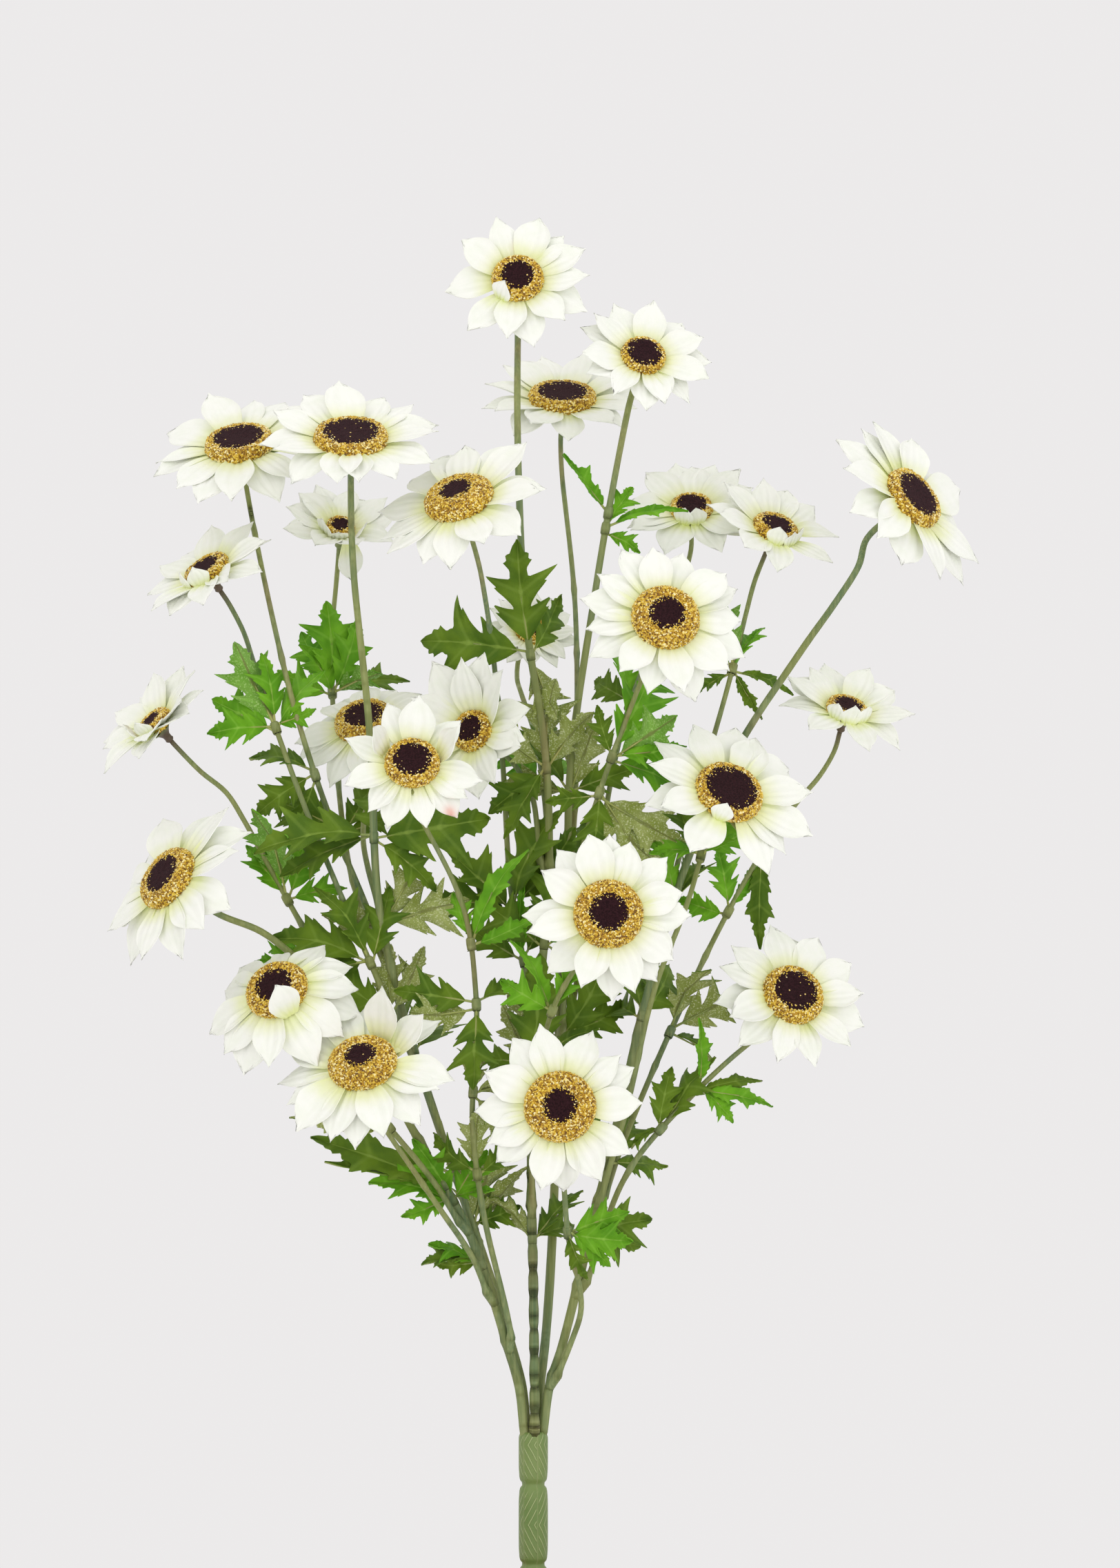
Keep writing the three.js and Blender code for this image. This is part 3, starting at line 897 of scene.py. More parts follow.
def add_petal(bm, angle, root, length, width, rise, curl, rng):
    """One petal, pointing away from the disc at an angle round it."""
    slope, curl = math.radians(rise), math.radians(curl)
    fold = rng.uniform(-0.10, 0.30)
    blunt = rng.random()
    notch = NOTCH if rng.random() < NOTCHED_SHARE else 0.0
    sway = rng.uniform(-0.10, 0.10) * length
    twist = math.radians(rng.uniform(-16, 16))
    seed = Vector((rng.uniform(0, 99), 0, 0))
    turn = Matrix.Rotation(math.radians(angle), 4, "Z")
    lift_off = rng.uniform(-0.4, 0.4) * MM

    def shape(side, reach):
        end = 1 - 0.07 * side**2 - notch * math.exp(-((side / 0.22) ** 2))
        end += 0.025 * noise.noise(seed + Vector((0, side * 6, 0)))
        travelled = reach * end
        bent = slope + curl * travelled
        out = (math.sin(bent) - math.sin(slope)) / curl
        up = (math.cos(slope) - math.cos(bent)) / curl
        fray = 1 + 0.035 * noise.noise(seed + Vector((9, side * 2, reach * 7)))
        half = width / 2 * petal_half_width(reach, blunt) * fray
        rib = RIB_HEIGHT * math.cos(side * 4 * math.pi) * math.sin(math.pi * min(1, reach + 0.12))
        hollow = fold * abs(side) ** 1.4 * half + side * half * math.tan(twist) * reach
        wave = 0.5 * MM * noise.noise(seed + Vector((side * 1.4, 30, reach * 2.6))) * reach
        height = rib + hollow + wave
        along = Vector((root + length * out, side * half + sway * reach**2, length * up + lift_off))
        return turn @ (along + Vector((-math.sin(bent), 0, math.cos(bent))) * height)

    return lay_grid(bm, PETAL_ACROSS, PETAL_ALONG, shape)


# %% A row of petals
PETAL_THICKNESS = 0.35 * MM
CLEARANCE = 22
STAIN_WIDTH = 2.6 * MM


def stain_round(number, root, tip):
    """How strongly each place of a flower is stained."""
    angle, share, _ = STAINED[number]
    reach = root + (tip - root) * share
    centre = Matrix.Rotation(math.radians(angle), 4, "Z") @ Vector((reach, 0, 0))
    return lambda co: math.exp(-(((co.xy - centre.xy).length / STAIN_WIDTH) ** 2))


def petal_row(number, inner, rng):
    """One row of petals, made facing +Z. A petal next to a standing one is left out."""
    width, ring, _, _, rise, lean = FLOWER_SIZES[number]
    tip = width / 2 * MM
    root = (0.36 if inner else 0.40) * ring * MM
    count = 8 if int(number) % 3 == 0 else 7
    start = int(number) * 77 + (180 / count if inner else 0)
    standing = STANDING_PETALS.get(number, []) if inner else []
    row_bm = bmesh.new()
    row_bm.loops.layers.uv.new("UVMap")
    for n in range(count):
        angle = start + (n + rng.uniform(-0.16, 0.16)) * 360 / count
        if any(abs((angle - other[0] + 180) % 360 - 180) < CLEARANCE for other in standing):
            continue
        slope = rise + lean * math.sin(math.radians(angle)) + rng.uniform(-6, 6)
        slope += 9 if inner else 0
        length = (tip - root) * rng.uniform(1.0, 1.13) * (0.93 if inner else 1.0)
        length /= max(0.80, math.cos(math.radians(max(0, slope) * 0.8)))
        breadth = length * rng.uniform(0.54, 0.68)
        add_petal(row_bm, angle, root, length, breadth, slope, rng.uniform(-36, -8), rng)
    edge = (0.5 * ring + 0.9) * MM
    for angle, slope, share, curl in standing:
        length = (tip - root) * share
        add_petal(row_bm, angle, edge, length, length * (1.25 - 0.62 * share), slope, curl, rng)
    is_stained = number in STAINED and (inner or STAINED[number][2])
    paint(row_bm, "stain", stain_round(number, root, tip) if is_stained else lambda co: 0)
    return row_bm


# %% [markdown]
# ## Disc
# The disc is a low dome. Its bed is a profile spun round the axis: up the outer side, over the
# crown and down to the eye. Hundreds of crumbs then sit on it, each a squashed icosphere with
# only a few faces. The eye is a second spun profile with an uneven edge, level with the crumbs.

# %% Gold ring
def ring_profile(ring, eye_width, height):
    """Radius and height of the gold bed, from its foot to the eye's edge."""
    outer = ring / 2 * MM
    inner = eye_width / 2 * MM
    crown = (outer + inner) / 2
    top = height * MM
    side = [(outer * 0.93, -0.6 * MM), (outer, 0.25 * top), (outer * 0.97, 0.62 * top)]
    over = [(outer * 0.3 + crown * 0.7, 0.93 * top), (inner * 0.6 + crown * 0.4, top)]
    return side + over + [(inner * 0.92, 0.95 * top)]


def gold_bed(number):
    """The bed of the ring, made facing +Z."""
    _, ring, eye_width, height, _, _ = FLOWER_SIZES[number]
    profile = ring_profile(ring, eye_width, height)
    foot, end = profile[0], profile[-1]
    bed_bm = bmesh.new()
    spin_profile(bed_bm, [*profile, (end[0] * 0.9, 0.2 * MM), (foot[0] * 0.9, -0.8 * MM), foot], 40)
    return bed_bm


# %% Crumbs
CRUMB = 0.50 * MM
CRUMB_SPACING = 1.5 * CRUMB


def crumbs_by_doubling(count):
    """A mesh of many crumbs in one place, and the vertices of each crumb."""
    bm = bmesh.new()
    size = len(bmesh.ops.create_icosphere(bm, subdivisions=1, radius=1)["verts"])
    while len(bm.verts) < count * size:
        chosen = list(bm.verts)[:count * size - len(bm.verts)]
        faces = {face for vert in chosen for face in vert.link_faces}
        bmesh.ops.duplicate(bm, geom=chosen + list(faces))
    verts = list(bm.verts)
    return bm, [verts[n:n + size] for n in range(0, len(verts), size)]


def gold_crumbs(number, rng):
    """The crumbs of the ring, made facing +Z. For every ten, one more strays onto the eye's edge."""
    _, ring, eye_width, height, _, _ = FLOWER_SIZES[number]
    profile = ring_profile(ring, eye_width, height)
    stretches = list(zip(profile, profile[1:]))
    areas = [math.dist(a, b) * (a[0] + b[0]) * math.pi for a, b in stretches]
    strays = ((eye_width / 2 * MM, height * MM), (eye_width / 2 * 0.70 * MM, height * MM))
    count = int(sum(areas) / CRUMB_SPACING**2)
    crumbs_bm, crumbs = crumbs_by_doubling(count + count // 10)
    for n, verts in enumerate(crumbs):
        start, stop = rng.choices(stretches, areas)[0] if n < count else strays
        share = rng.random() if n < count else rng.random() ** 1.6
        radius = start[0] + (stop[0] - start[0]) * share
        level = start[1] + (stop[1] - start[1]) * share
        spot = Matrix.Rotation(rng.uniform(0, math.tau), 4, "Z") @ Matrix.Translation((radius, 0, level))
        size = CRUMB * (rng.uniform(0.7, 1.35) if n < count else rng.uniform(0.5, 0.9))
        squash = Matrix.Diagonal((size, size * rng.uniform(0.7, 1.3), size * rng.uniform(0.7, 1.3), 1))
        roll = Matrix.Rotation(rng.uniform(0, math.tau), 4, (rng.random(), rng.random(), 1))
        place = spot @ roll @ squash
        for vert in verts:
            vert.co = place @ vert.co
    return crumbs_bm


# %% Dark eye
def dark_eye(number, rng):
    """The flocked eye, made facing +Z."""
    _, _, eye_width, height, _, _ = FLOWER_SIZES[number]
    radius = eye_width / 2 * MM
    top = height * MM
    eye_bm = bmesh.new()
    side = [(0, top * 0.55), (radius * 0.95, top * 0.6), (radius * 1.04, top * 0.92)]
    crown = [(0.96, 0.10), (0.80, 0.25), (0.55, 0.20), (0.28, 0.05), (0, 0)]
    profile = side + [(radius * share, top + rise * MM) for share, rise in crown]
    spin_profile(eye_bm, profile, 48)
    seed = Vector((rng.uniform(0, 99), 0, 0))
    for vert in eye_bm.verts:
        outward = vert.co.xy.length / radius
        vert.co.xy *= 1 + 0.06 * outward * noise.noise(vert.co * 900 + seed)
        vert.co.z += 0.35 * MM * noise.noise(vert.co * 700 + seed) * min(1, outward * 2)
    return eye_bm


# %% [markdown]
# ## Calyx
# Behind the petals a small moulded cup holds the flower on its stem. It is spun like the disc,
# and eight pointed sepals lie against the backs of the petals.

# %% Calyx
SEPALS = 8
SEPAL_THICKNESS = 0.3 * MM
SEPAL_DROP = 1.7 * MM
NECK = 1.75 * MM


def calyx(number, rng):
    """Cup and sepals, made facing +Z. The heights of the cup are in millimetres."""
    _, ring, _, _, rise, _ = FLOWER_SIZES[number]
    rim = ring * 0.36 * MM
    calyx_bm = bmesh.new()
    calyx_bm.loops.layers.uv.new("UVMap")
    socket = [(0, -9.4), (NECK * 0.9, -9.3), (NECK * 1.15, -8.6), (NECK, -7.6), (NECK * 1.1, -6.0)]
    cup = [(NECK * 1.7, -4.4), (rim * 0.7, -2.9), (rim, -1.5), (rim * 0.9, -0.9), (0, -0.8)]
    spin_profile(calyx_bm, [(radius, height * MM) for radius, height in socket + cup], 24)
    for n in range(SEPALS):
        length = rim * rng.uniform(0.75, 1.0)
        slope = max(-10, rise - 4) + rng.uniform(-8, 4)

        def shape(side, reach):
            half = 0.30 * rim * (1 - reach**1.6) + 0.02 * MM
            bent = math.radians(slope) * reach
            travelled = length * reach
            place = Vector((rim * 0.8 + travelled * math.cos(bent), side * half, travelled * math.sin(bent)))
            place.z += 0.12 * half * (1 - side * side) - SEPAL_DROP
            return Matrix.Rotation(math.tau * n / SEPALS, 4, "Z") @ place

        lay_grid(calyx_bm, 4, 6, shape)
    darkness = 0.8 if number in PLUM_NECKS else 0.0
    paint(calyx_bm, "plum", lambda co: darkness * min(1, max(0, -co.z / (4 * MM))))
    return calyx_bm


# %% Build the flowers
for number in flower_numbers:
    rng = random.Random(f"flower {number}")
    stands_for = [f"flower_head_{number}"]
    parts = [
        (f"outer_petals_{number}", petal_row(number, False, rng), [petal], "petal_fabric"),
        (f"inner_petals_{number}", petal_row(number, True, rng), [petal], "petal_fabric"),
        (f"gold_bed_{number}", gold_bed(number), [bed], "petal_fabric"),
        (f"gold_crumbs_{number}", gold_crumbs(number, rng), [gold], "petal_fabric"),
        (f"dark_eye_{number}", dark_eye(number, rng), [eye], "petal_fabric"),
        (f"calyx_{number}", calyx(number, rng), [stem_finish], "stem_plastic"),
    ]
    for name, part_bm, finishes, record_slot in parts:
        part_bm.transform(places[number])
        piece = make_piece(name, part_bm, finishes, stands_for, record_slot)
        if "petals" in name:
            give_thickness(piece, PETAL_THICKNESS)
        if "calyx" in name:
            give_thickness(piece, SEPAL_THICKNESS, -1)
print("flowers made:", len(flower_numbers))

# %% [markdown]
# ## Leaves
# A leaf is a grid like a petal, but its half width swings out and in again on the way to the
# tip: two pairs of toothed lobes and a long pointed end. Points are also pushed forward the
# further out they lie, so the lobes lean to the tip and the bays between them stay narrow. The
# blade is folded along its midrib and droops. A thin stalk joins it to the clip on the stem.

# %% Outline of a leaf
# (share of the leaf's length, share of its full half width)
FIRST_LOBE = ((0.08, 0.42), (0.125, 0.64), (0.15, 0.54), (0.20, 0.80), (0.235, 0.50))
SECOND_LOBE = ((0.35, 0.50), (0.39, 0.80), (0.415, 0.68), (0.475, 1.0), (0.52, 0.62))
END_LOBE = ((0.66, 0.24), (0.71, 0.38), (0.74, 0.27), (0.80, 0.29), (0.83, 0.19), (0.92, 0.12), (1, 0.01))


def leaf_half_width(reach, bay):
    """Share of the full half width. The bays between the lobes are as wide as given."""
    foot = ((0, 0.03), (0.03, bay))
    bays = ((0.27, bay), (0.30, bay)), ((0.57, bay), (0.61, bay))
    outline = (*foot, *FIRST_LOBE, *bays[0], *SECOND_LOBE, *bays[1], *END_LOBE)
    return float(np.interp(reach, *zip(*outline)))


# %% Where a leaf points
def leaf_axes(angle, toward, shows, roll):
    """A leaf's own axes, as a matrix: across, along, and out of its top."""
    turn = math.radians(angle)
    flat = Vector((math.cos(turn), 0, math.sin(turn)))
    direction = (flat * math.sqrt(1 - toward**2) + VIEWER * toward).normalized()
    face = VIEWER * shows + UP * 0.45
    face = (face - direction * face.dot(direction)).normalized()
    face.rotate(Matrix.Rotation(roll, 3, direction))
    return Matrix((direction.cross(face), direction, face)).transposed().to_4x4()


# %% One leaf
LEAF_ACROSS = 10
LEAF_ALONG = 48
LEAF_THICKNESS = 0.4 * MM
STALK_STEP = 2.5 * MM


def add_leaf(bm, place, length, slender, rng):
    """One leaf on its stalk. Returns the line of the stalk."""
    stalk = min(6 * MM, 0.13 * length)
    blade = length - stalk
    width = blade * (0.32 if slender else 0.70) * rng.uniform(0.85, 1.1)
    bay = rng.uniform(0.42, 0.60) if slender else rng.uniform(0.24, 0.36)
    droop = math.radians(rng.uniform(-65, -8))
    fold = rng.uniform(0.15, 0.60)
    forward = rng.uniform(0.65, 0.95)
    sway = rng.uniform(-0.16, 0.16) * blade
    lobe_curl = rng.uniform(-1.6, 0.3) / width
    seed = Vector((rng.uniform(0, 99), 0, 0))

    def midrib(share):
        bent = droop * share
        drop = blade * (1 - math.cos(bent)) / droop
        return Vector((sway * share**2, stalk + blade * math.sin(bent) / droop, drop)), bent

    def shape(side, reach):
        uneven = 1 + 0.25 * noise.noise(seed + Vector((math.copysign(3, side), reach * 5, 0)))
        half = abs(side) * width / 2 * leaf_half_width(reach, bay) * uneven
        share = 0.92 * reach + forward * half / blade * (1 - 0.4 * reach)
        centre, bent = midrib(share)
        height = fold * half + lobe_curl * half**2
        height += 1.4 * MM * noise.noise(seed + Vector((side * 1.2, reach * 3.0, 5)))
        height -= 0.25 * MM * math.exp(-((side / 0.12) ** 2))
        centre.x += math.copysign(half, side)
        return place @ (centre + Vector((0, -math.sin(bent), math.cos(bent))) * height)

    lay_grid(bm, LEAF_ACROSS, LEAF_ALONG, shape)
    below = Vector((0, 0, LEAF_THICKNESS + 0.05 * MM))
    ends = [place @ (midrib(share)[0] - below) for share in (0, 0.4)]
    return smooth_line([place.translation, *ends], STALK_STEP)


# %% [markdown]
# ## Where the leaves sit
# Leaves grow in small groups along the stems. Each group names its stem, its height on it, and
# then its leaves: the angle in the view from the front, how far the leaf leans towards the
# viewer, its length in millimetres, and its tone. Thin ones are slender, and pale ones turn
# their underside to the front.

# %% Leaf table
LEAF_GROUPS = [
    ("flower_stem_06", 546, [
        (88, 0.25, 48, "bright"), (66, 0.1, 42, "bright"), (22, -0.2, 40, "olive"),
        (160, 0.2, 30, "bright"), (122, 0.0, 36, "bright"), (30, 0.4, 30, "pale bright"),
        (105, 0.4, 32, "bright")]),
    ("flower_stem_08", 529, [
        (116, 0.0, 48, "pale bright"), (92, 0.2, 36, "bright"), (154, 0.2, 38, "bright"),
        (62, 0.1, 38, "bright"), (180, 0.4, 34, "bright"), (15, 0.3, 22, "bright")]),
    ("main_stem_centre", 562, [
        (101, 0.25, 56, "olive"), (170, 0.2, 56, "olive"), (62, -0.4, 40, "olive"),
        (-70, -0.3, 34, "pale")]),
    ("main_stem_centre", 511, [
        (93, -0.2, 46, "pale"), (150, 0.1, 36, "pale"), (60, -0.3, 38, "pale"),
        (-122, 0.3, 42, "olive"), (-150, 0.1, 36, "olive")]),
    ("main_stem_centre_right", 626, [(126, 0.1, 36, "thin bright")]),
    ("main_stem_centre_right", 619, [
        (28, 0.2, 42, "thin bright"), (58, 0.0, 24, "bright"), (-20, 0.3, 20, "bright")]),
    ("flower_stem_10", 556, [
        (97, 0.15, 40, "pale bright"), (68, -0.2, 32, "bright"), (128, -0.3, 26, "bright"),
        (-8, 0.2, 34, "thin olive"), (205, 0.2, 22, "olive"), (-62, 0.2, 30, "thin olive")]),
    ("flower_stem_12", 516, [
        (63, 0.2, 46, "bright"), (33, 0.1, 44, "pale bright"), (6, 0.3, 36, "bright"),
        (-14, -0.1, 38, "bright"), (110, 0.2, 26, "olive")]),
    ("flower_stem_12", 500, [
        (-32, 0.1, 50, "pale"), (-62, -0.1, 50, "pale"), (-95, 0.1, 34, "olive"),
        (185, 0.0, 26, "olive")]),
    ("main_stem_right", 452, [(99, 0.3, 34, "bright"), (165, 0.1, 30, "bright"), (60, -0.3, 30, "olive")]),
    ("flower_stem_18", 446, [
        (98, 0.2, 32, "bright"), (58, 0.0, 38, "thin bright"), (165, 0.2, 26, "bright")]),
    ("flower_stem_18", 473, [(-95, 0.2, 48, "thin olive"), (40, -0.4, 26, "thin olive")]),
    ("flower_stem_18", 392, [(76, 0.1, 40, "pale"), (28, 0.0, 42, "pale"), (-20, -0.4, 30, "olive")]),
    ("flower_stem_23", 350, [(60, 0.1, 44, "olive"), (82, 0.3, 34, "olive"), (200, -0.2, 22, "olive")]),
    ("flower_stem_23", 368, [
        (84, 0.2, 34, "thin bright"), (-2, 0.2, 40, "thin bright"), (18, 0.0, 36, "thin olive"),
        (-34, 0.3, 24, "bright")]),
    ("main_stem_centre_right", 389, [
        (52, 0.2, 48, "olive"), (22, 0.1, 40, "olive"), (140, -0.4, 34, "pale")]),
    ("main_stem_centre_right", 366, [(28, 0.1, 26, "thin olive"), (-160, -0.5, 30, "olive")]),
    ("flower_stem_07", 447, [
        (82, 0.3, 56, "olive"), (132, 0.2, 46, "olive"), (45, 0.1, 50, "olive"),
        (165, 0.1, 42, "olive"), (10, 0.3, 34, "olive")]),
    ("flower_stem_16", 433, [
        (76, 0.2, 56, "thin bright"), (20, 0.3, 36, "thin bright"), (110, 0.0, 26, "bright")]),
    ("main_stem_left_back", 440, [(18, 0.1, 46, "pale"), (58, -0.1, 40, "pale"), (170, -0.3, 30, "pale")]),
    ("main_stem_left_back", 480, [
        (10, 0.3, 60, "olive"), (172, 0.3, 60, "olive"), (196, 0.1, 50, "olive"),
        (-30, 0.2, 40, "olive"), (105, -0.4, 34, "olive")]),
    ("flower_stem_14", 452, [
        (97, 0.2, 50, "pale bright"), (68, 0.0, 40, "bright"), (125, 0.1, 34, "bright"),
        (20, 0.3, 30, "bright")]),
    ("flower_stem_08", 424, [
        (112, 0.2, 46, "olive"), (150, 0.2, 52, "olive"), (78, 0.0, 40, "olive"),
        (180, 0.3, 46, "olive"), (-160, -0.2, 34, "olive")]),
    ("flower_stem_08", 400, [(150, 0.1, 40, "olive"), (60, -0.3, 36, "pale"), (100, -0.4, 34, "pale")]),
    ("flower_stem_14", 424, [
        (176, 0.3, 34, "bright"), (160, -0.1, 30, "bright"), (-100, 0.1, 24, "olive")]),
    ("flower_stem_04", 508, [(150, 0.1, 34, "olive"), (-150, 0.2, 36, "olive"), (-110, 0.1, 34, "olive")]),
    ("flower_stem_16", 406, [
        (170, 0.2, 40, "olive"), (192, 0.1, 38, "pale"), (-92, 0.3, 42, "olive"),
        (30, -0.3, 30, "olive")]),
    ("main_stem_centre", 377, [
        (86, 0.3, 56, "olive"), (48, 0.2, 38, "olive"), (122, 0.1, 34, "pale"),
        (160, 0.3, 30, "olive")]),
    ("flower_stem_21", 404, [
        (62, 0.2, 36, "bright"), (104, 0.2, 42, "thin bright"), (150, 0.3, 30, "bright")]),
    ("flower_stem_16", 367, [(84, 0.2, 28, "pale"), (26, 0.1, 24, "pale"), (-40, 0.2, 26, "pale")]),
    ("main_stem_left_front", 318, [
        (150, 0.3, 44, "bright"), (118, 0.3, 38, "bright"), (64, 0.3, 30, "bright"),
        (205, 0.3, 26, "bright"), (20, 0.4, 22, "bright")]),
    ("main_stem_left_front", 325, [(157, 0.1, 74, "thin olive"), (166, 0.0, 60, "thin olive")]),
    ("main_stem_left_back", 305, [
        (82, 0.2, 46, "pale"), (56, 0.1, 40, "pale"), (104, 0.1, 40, "pale"),
        (20, 0.3, 26, "olive")]),
    ("flower_stem_25", 305, [
        (-8, 0.4, 32, "bright"), (-34, 0.3, 28, "bright"), (24, 0.4, 32, "bright"),
        (14, 0.0, 44, "olive"), (-10, 0.0, 40, "olive"), (-75, 0.3, 26, "olive")]),
    ("main_stem_left_front", 289, [
        (165, 0.2, 30, "olive"), (192, 0.1, 24, "olive"), (140, 0.2, 30, "bright")]),
    ("flower_stem_22", 352, [(170, -0.1, 50, "thin pale"), (150, -0.2, 34, "olive")]),
    ("main_stem_centre", 300, [(58, -0.2, 36, "olive"), (118, -0.3, 34, "pale"), (20, -0.5, 30, "olive")]),
    ("main_stem_centre", 432, [
        (80, 0.3, 46, "olive"), (38, 0.4, 36, "bright"), (140, 0.2, 40, "olive"),
        (-30, 0.3, 30, "olive")]),
    ("main_stem_centre_right", 500, [
        (120, -0.1, 44, "olive"), (70, 0.0, 42, "pale"), (22, 0.1, 36, "olive"),
        (165, -0.2, 34, "pale")]),
    ("flower_stem_19", 472, [
        (58, 0.2, 38, "bright"), (20, 0.1, 30, "bright"), (112, 0.0, 34, "olive"),
        (165, 0.3, 26, "bright")]),
    ("flower_stem_06", 482, [
        (152, 0.1, 40, "olive"), (62, 0.0, 34, "olive"), (-150, 0.1, 36, "bright"),
        (20, 0.2, 30, "olive")]),
    ("flower_stem_07", 424, [
        (100, 0.3, 40, "thin bright"), (60, 0.2, 36, "olive"), (150, 0.1, 36, "olive"),
        (-62, 0.2, 28, "olive")]),
    ("flower_stem_16", 330, [(96, 0.0, 34, "pale"), (150, 0.1, 30, "olive"), (40, 0.1, 28, "olive")]),
    ("main_stem_centre_right", 455, [
        (70, -0.6, 46, "olive"), (110, -0.7, 44, "olive"), (20, -0.5, 40, "pale")]),
    ("main_stem_left_back", 385, [
        (120, -0.7, 44, "olive"), (60, -0.8, 46, "olive"), (170, -0.5, 40, "olive")]),
    ("main_stem_right", 400, [(100, -0.7, 44, "olive"), (50, -0.6, 42, "olive"), (150, -0.8, 40, "olive")]),
    ("flower_stem_13", 505, [(80, -0.5, 42, "olive"), (140, -0.6, 38, "bright"), (30, -0.7, 38, "bright")]),
    ("flower_stem_09", 540, [(95, -0.3, 38, "bright"), (40, -0.5, 34, "bright"), (150, -0.4, 30, "olive")]),
    ("main_stem_right", 335, [(60, -0.5, 40, "olive"), (120, -0.6, 40, "olive"), (0, -0.4, 34, "olive")]),
]

# %% Match the groups to the whorl solids
groups = [(*point_at_height(lines[stem], height * MM), leaves) for stem, height, leaves in LEAF_GROUPS]
whorls = {}
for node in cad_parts:
    if node.startswith("leaf_whorl"):
        centre = sum(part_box(node), Vector()) / 2
        nearest = min(range(len(groups)), key=lambda n: (groups[n][0] - centre).length)
        whorls.setdefault(nearest, []).append(node)
print("leaf groups:", len(groups), "whorl solids stood for:", sum(map(len, whorls.values())))

# %% Build the leaves
CLIP_RADIUS = 2.3 * MM
CLIP_STEPS = (-3.0, -2.2, 0, 2.2, 3.0)
CLIP_SHARES = (0.7, 0.95, 1, 0.95, 0.7)
STALK_RADIUS = 0.7 * MM
LEAF_ROLL = 45
leaf_count = 0
for n, (foot, direction, leaves) in enumerate(groups):
    rng = random.Random(f"leaves {n}")
    stalk_bm = bmesh.new()
    clip = [foot + direction * step * MM for step in CLIP_STEPS]
    sweep(stalk_bm, clip, [CLIP_RADIUS * share for share in CLIP_SHARES])
    clip_faces = set(stalk_bm.faces)
    by_tone = {}
    for angle, toward, length, tone in leaves:
        shows = -1 if "pale" in tone else 1
        cloth = "bright" if "bright" in tone else "olive"
        if cloth not in by_tone:
            by_tone[cloth] = bmesh.new()
            by_tone[cloth].loops.layers.uv.new("UVMap")
        start = foot + direction * rng.uniform(-2, 2) * MM
        roll = math.radians(rng.uniform(-LEAF_ROLL, LEAF_ROLL))
        place = Matrix.Translation(start) @ leaf_axes(angle, toward, shows, roll)
        line = add_leaf(by_tone[cloth], place, length * MM, "thin" in tone, rng)
        sizes = [STALK_RADIUS * (1 - 0.6 * k / len(line)) for k in range(len(line))]
        sweep(stalk_bm, line, sizes, ribs=4)
        leaf_count += 1
    for cloth, leaf_bm in by_tone.items():
        sides = [leaf_tops[cloth], leaf_undersides[cloth]]
        piece = make_piece(f"leaves_{cloth}_{n:02d}", leaf_bm, sides, whorls.get(n, []), "leaf_fabric")
        give_thickness(piece, LEAF_THICKNESS, -1, 1)
    for face in stalk_bm.faces:
        face.material_index = int(face not in clip_faces)
    paint(stalk_bm, "plum", lambda co: 0)
    make_piece(f"leaf_stalks_{n:02d}", stalk_bm, [stem_finish, wire_finish], [], "stem_plastic")
print("leaves made:", leaf_count)

# %% [markdown]
# ## Pot and soil
# The clay pot is thrown on a wheel, so a profile spun round the axis is how it is really made.
# Its sizes come from the pot's solid. The soil is a disc whose top is pushed up and down by
# noise, with crumbs scattered over it.

# %% Clay
clay = Finish("terracotta", {"Specular IOR Level": 0.3})
patches = clay.noise(22, 4)
clay_body = clay.mix(patches.ramp(0.35, 0.7), (0.47, 0.185, 0.095), (0.56, 0.255, 0.140))
bloom = clay.noise(60, 4, (1, 1, 0.5)).ramp(0.58, 0.78)
dusty = clay.mix(bloom * 0.35, clay_body, (0.66, 0.47, 0.36))
specks = clay.noise(700, 2).ramp(0.66, 0.74)
clay.set("Base Color", clay.mix(specks * 0.5, dusty, (0.30, 0.10, 0.05)))
turning = clay.noise(420, 2, (0.02, 0.02, 1))
clay.set("Roughness", 0.82 + bloom * 0.12)
clay.bump(turning * 0.7 + clay.noise(900, 3) * 0.5, 0.35 * MM, 0.6)
clay.tell()

# %% Potting soil
soil_finish = Finish("potting_soil", {"Roughness": 0.95, "Specular IOR Level": 0.2})
crumble = soil_finish.noise(260, 4)
soil_shade = soil_finish.mix(crumble.ramp(0.35, 0.7), (0.014, 0.008, 0.005), (0.060, 0.036, 0.022))
soil_finish.set("Base Color", soil_shade)
soil_finish.bump(crumble + soil_finish.noise(900, 3) * 0.6, 1.2 * MM, 0.9)
soil_finish.tell()

# %% Pot
POT_WALL = 6 * MM
POT_FLOOR = 8 * MM
BAND_HEIGHT = 24 * MM
BAND_PROUD = 4 * MM
_, pot_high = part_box("pot")
pot_points = solid_points("pot")
pot_reach = np.hypot(pot_points[:, 0], pot_points[:, 1])
RIM = pot_high.x
FOOT = pot_reach[pot_points[:, 2] < 1 * MM].max()
TOP = pot_high.z
BAND = TOP - BAND_HEIGHT
WAIST = RIM - BAND_PROUD
pot_foot = [(0, 0), (FOOT * 0.7, 0), (FOOT - 1.2 * MM, 0), (FOOT, 1.2 * MM)]
pot_side = [
    (FOOT * 0.72 + WAIST * 0.28, BAND * 0.30),
    (FOOT * 0.35 + WAIST * 0.65, BAND * 0.66),
    (WAIST - 0.3 * MM, BAND - 0.5 * MM),
    (WAIST + 0.8 * MM, BAND + 0.2 * MM),
]
pot_rim = [
    (RIM - 0.6 * MM, BAND + 1.6 * MM),
    (RIM, BAND + 3.5 * MM),
    (RIM, TOP - 3.5 * MM),
    (RIM - 0.8 * MM, TOP - 1 * MM),
    (RIM - 2.6 * MM, TOP),
    (RIM - 5.2 * MM, TOP - 0.3 * MM),
    (RIM - 6.8 * MM, TOP - 2.4 * MM),
]
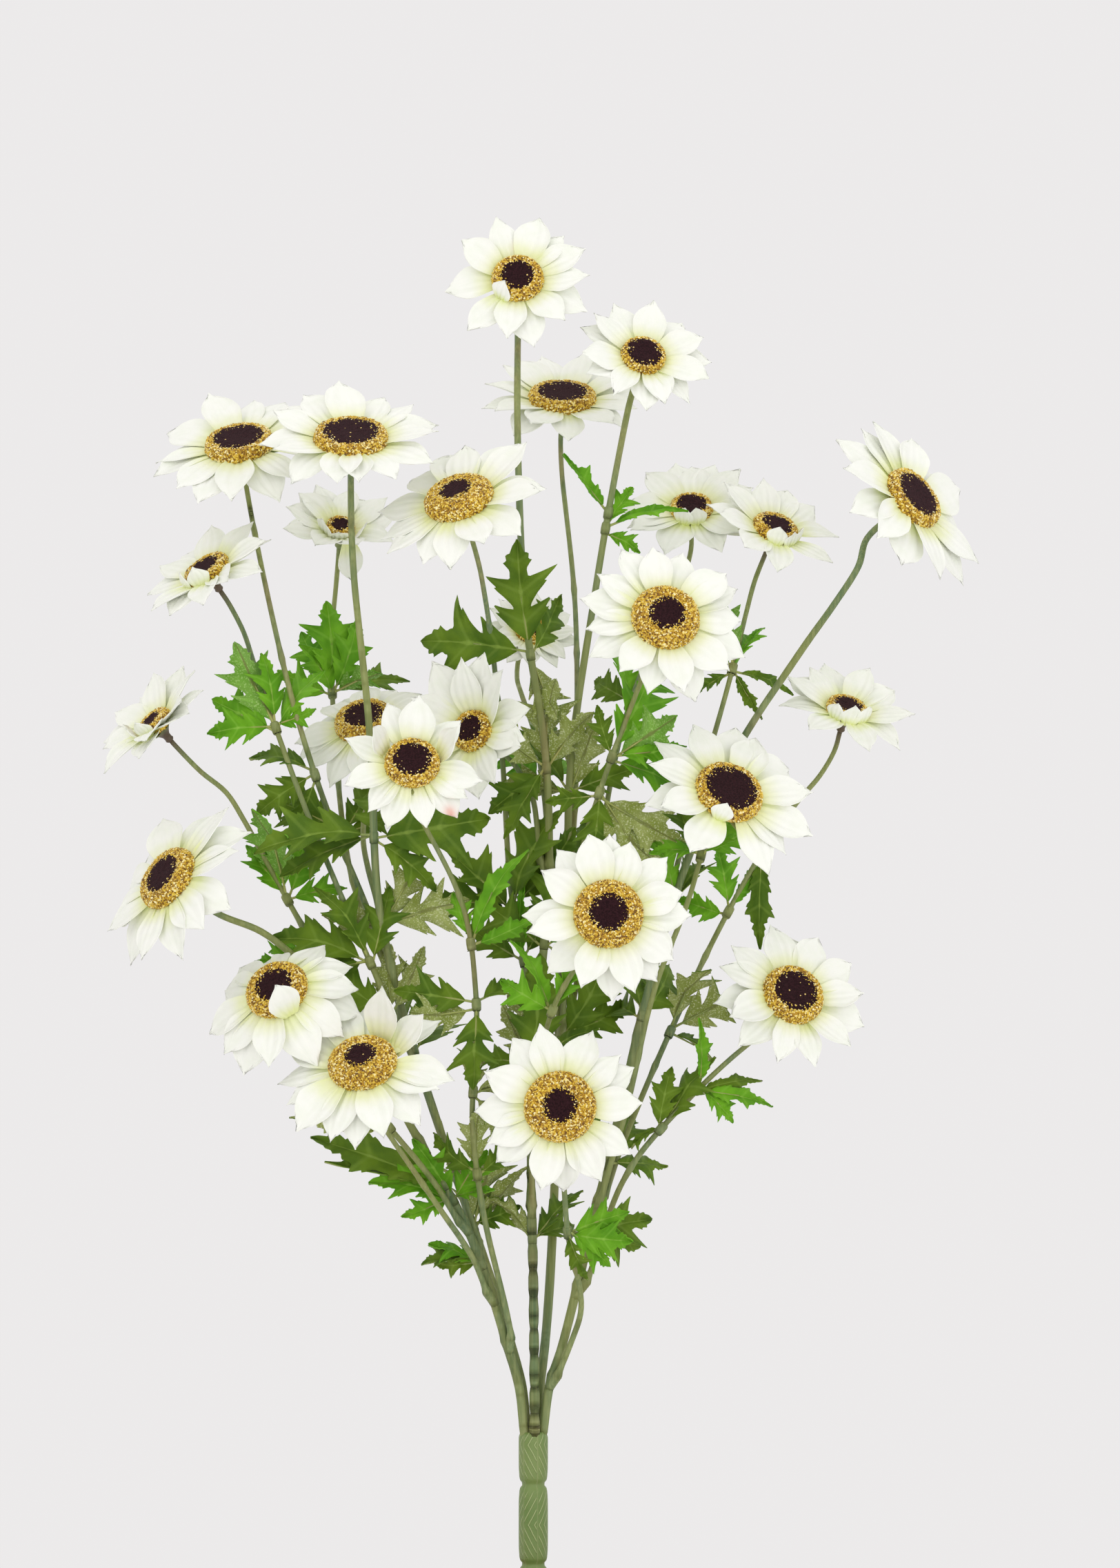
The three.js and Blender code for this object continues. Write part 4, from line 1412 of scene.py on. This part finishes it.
pot_inside = [(WAIST - POT_WALL, BAND), (FOOT - POT_WALL, POT_FLOOR + 1 * MM), (0, POT_FLOOR)]
pot_bm = bmesh.new()
spin_profile(pot_bm, pot_foot + pot_side + pot_rim + pot_inside, 96)
pot = make_piece("clay_pot", pot_bm, [clay], ["pot"], "clay")
rounding = pot.modifiers.new("soft_edges", "SUBSURF")
rounding.levels = 1
rounding.render_levels = 1
print("pot width and height in mm:", round(2 * RIM / MM), round(TOP / MM))

# %% Soil
SOIL_DEPTH = 12 * MM
SOIL_RINGS = 14
SOIL_LUMPS = 520
_, soil_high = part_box("soil")
SOIL_RADIUS = soil_high.x - 0.2 * MM
soil_top = soil_high.z
soil_side = [(0, -SOIL_DEPTH), (SOIL_RADIUS * 0.94, -SOIL_DEPTH), (SOIL_RADIUS, -3 * MM)]
shares = [n / SOIL_RINGS for n in range(SOIL_RINGS, -1, -1)]
soil_crown = [(SOIL_RADIUS * share, -2 * MM * share**2) for share in shares]
soil_bm = bmesh.new()
spin_profile(soil_bm, [(radius, soil_top + drop) for radius, drop in soil_side + soil_crown], 72)
for vert in soil_bm.verts:
    if vert.co.z > soil_top - 3 * MM and vert.co.xy.length < SOIL_RADIUS * 0.99:
        vert.co.z += 1.1 * MM * noise.noise(vert.co * 130) + 0.8 * MM * noise.noise(vert.co * 420)
rng = random.Random("soil")
for _ in range(SOIL_LUMPS):
    reach = SOIL_RADIUS * 0.97 * math.sqrt(rng.random())
    angle = rng.uniform(0, math.tau)
    size = rng.uniform(0.7, 2.2) * MM
    spot = Vector((reach * math.cos(angle), reach * math.sin(angle), soil_top - 1.2 * MM))
    turn = Matrix.Rotation(angle * 7, 4, (1, rng.random(), rng.random()))
    squash = Matrix.Diagonal((size, size * rng.uniform(0.5, 1), size * rng.uniform(0.5, 1), 1))
    lump = Matrix.Translation(spot) @ turn @ squash
    bmesh.ops.create_icosphere(soil_bm, subdivisions=1, radius=1, matrix=lump)
make_piece("potting_soil", soil_bm, [soil_finish], ["soil"], "soil")
print("lumps on the soil:", SOIL_LUMPS)

# %% [markdown]
# ## Size of the bush
# How far the corners of the visible bush's box moved from the solids' box is printed. The
# visible bush has to stay within the solids' box, apart from a little that cloth may stand
# proud.

# %% Sizes
graph = bpy.context.evaluated_depsgraph_get()
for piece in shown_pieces():
    mesh = piece.evaluated_get(graph).to_mesh()
seen_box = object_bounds()
grown = [[round((b - a) / MM, 1) for a, b in zip(*corners)] for corners in zip(cad_box, seen_box)]
print("low and high corner moved by mm:", grown)
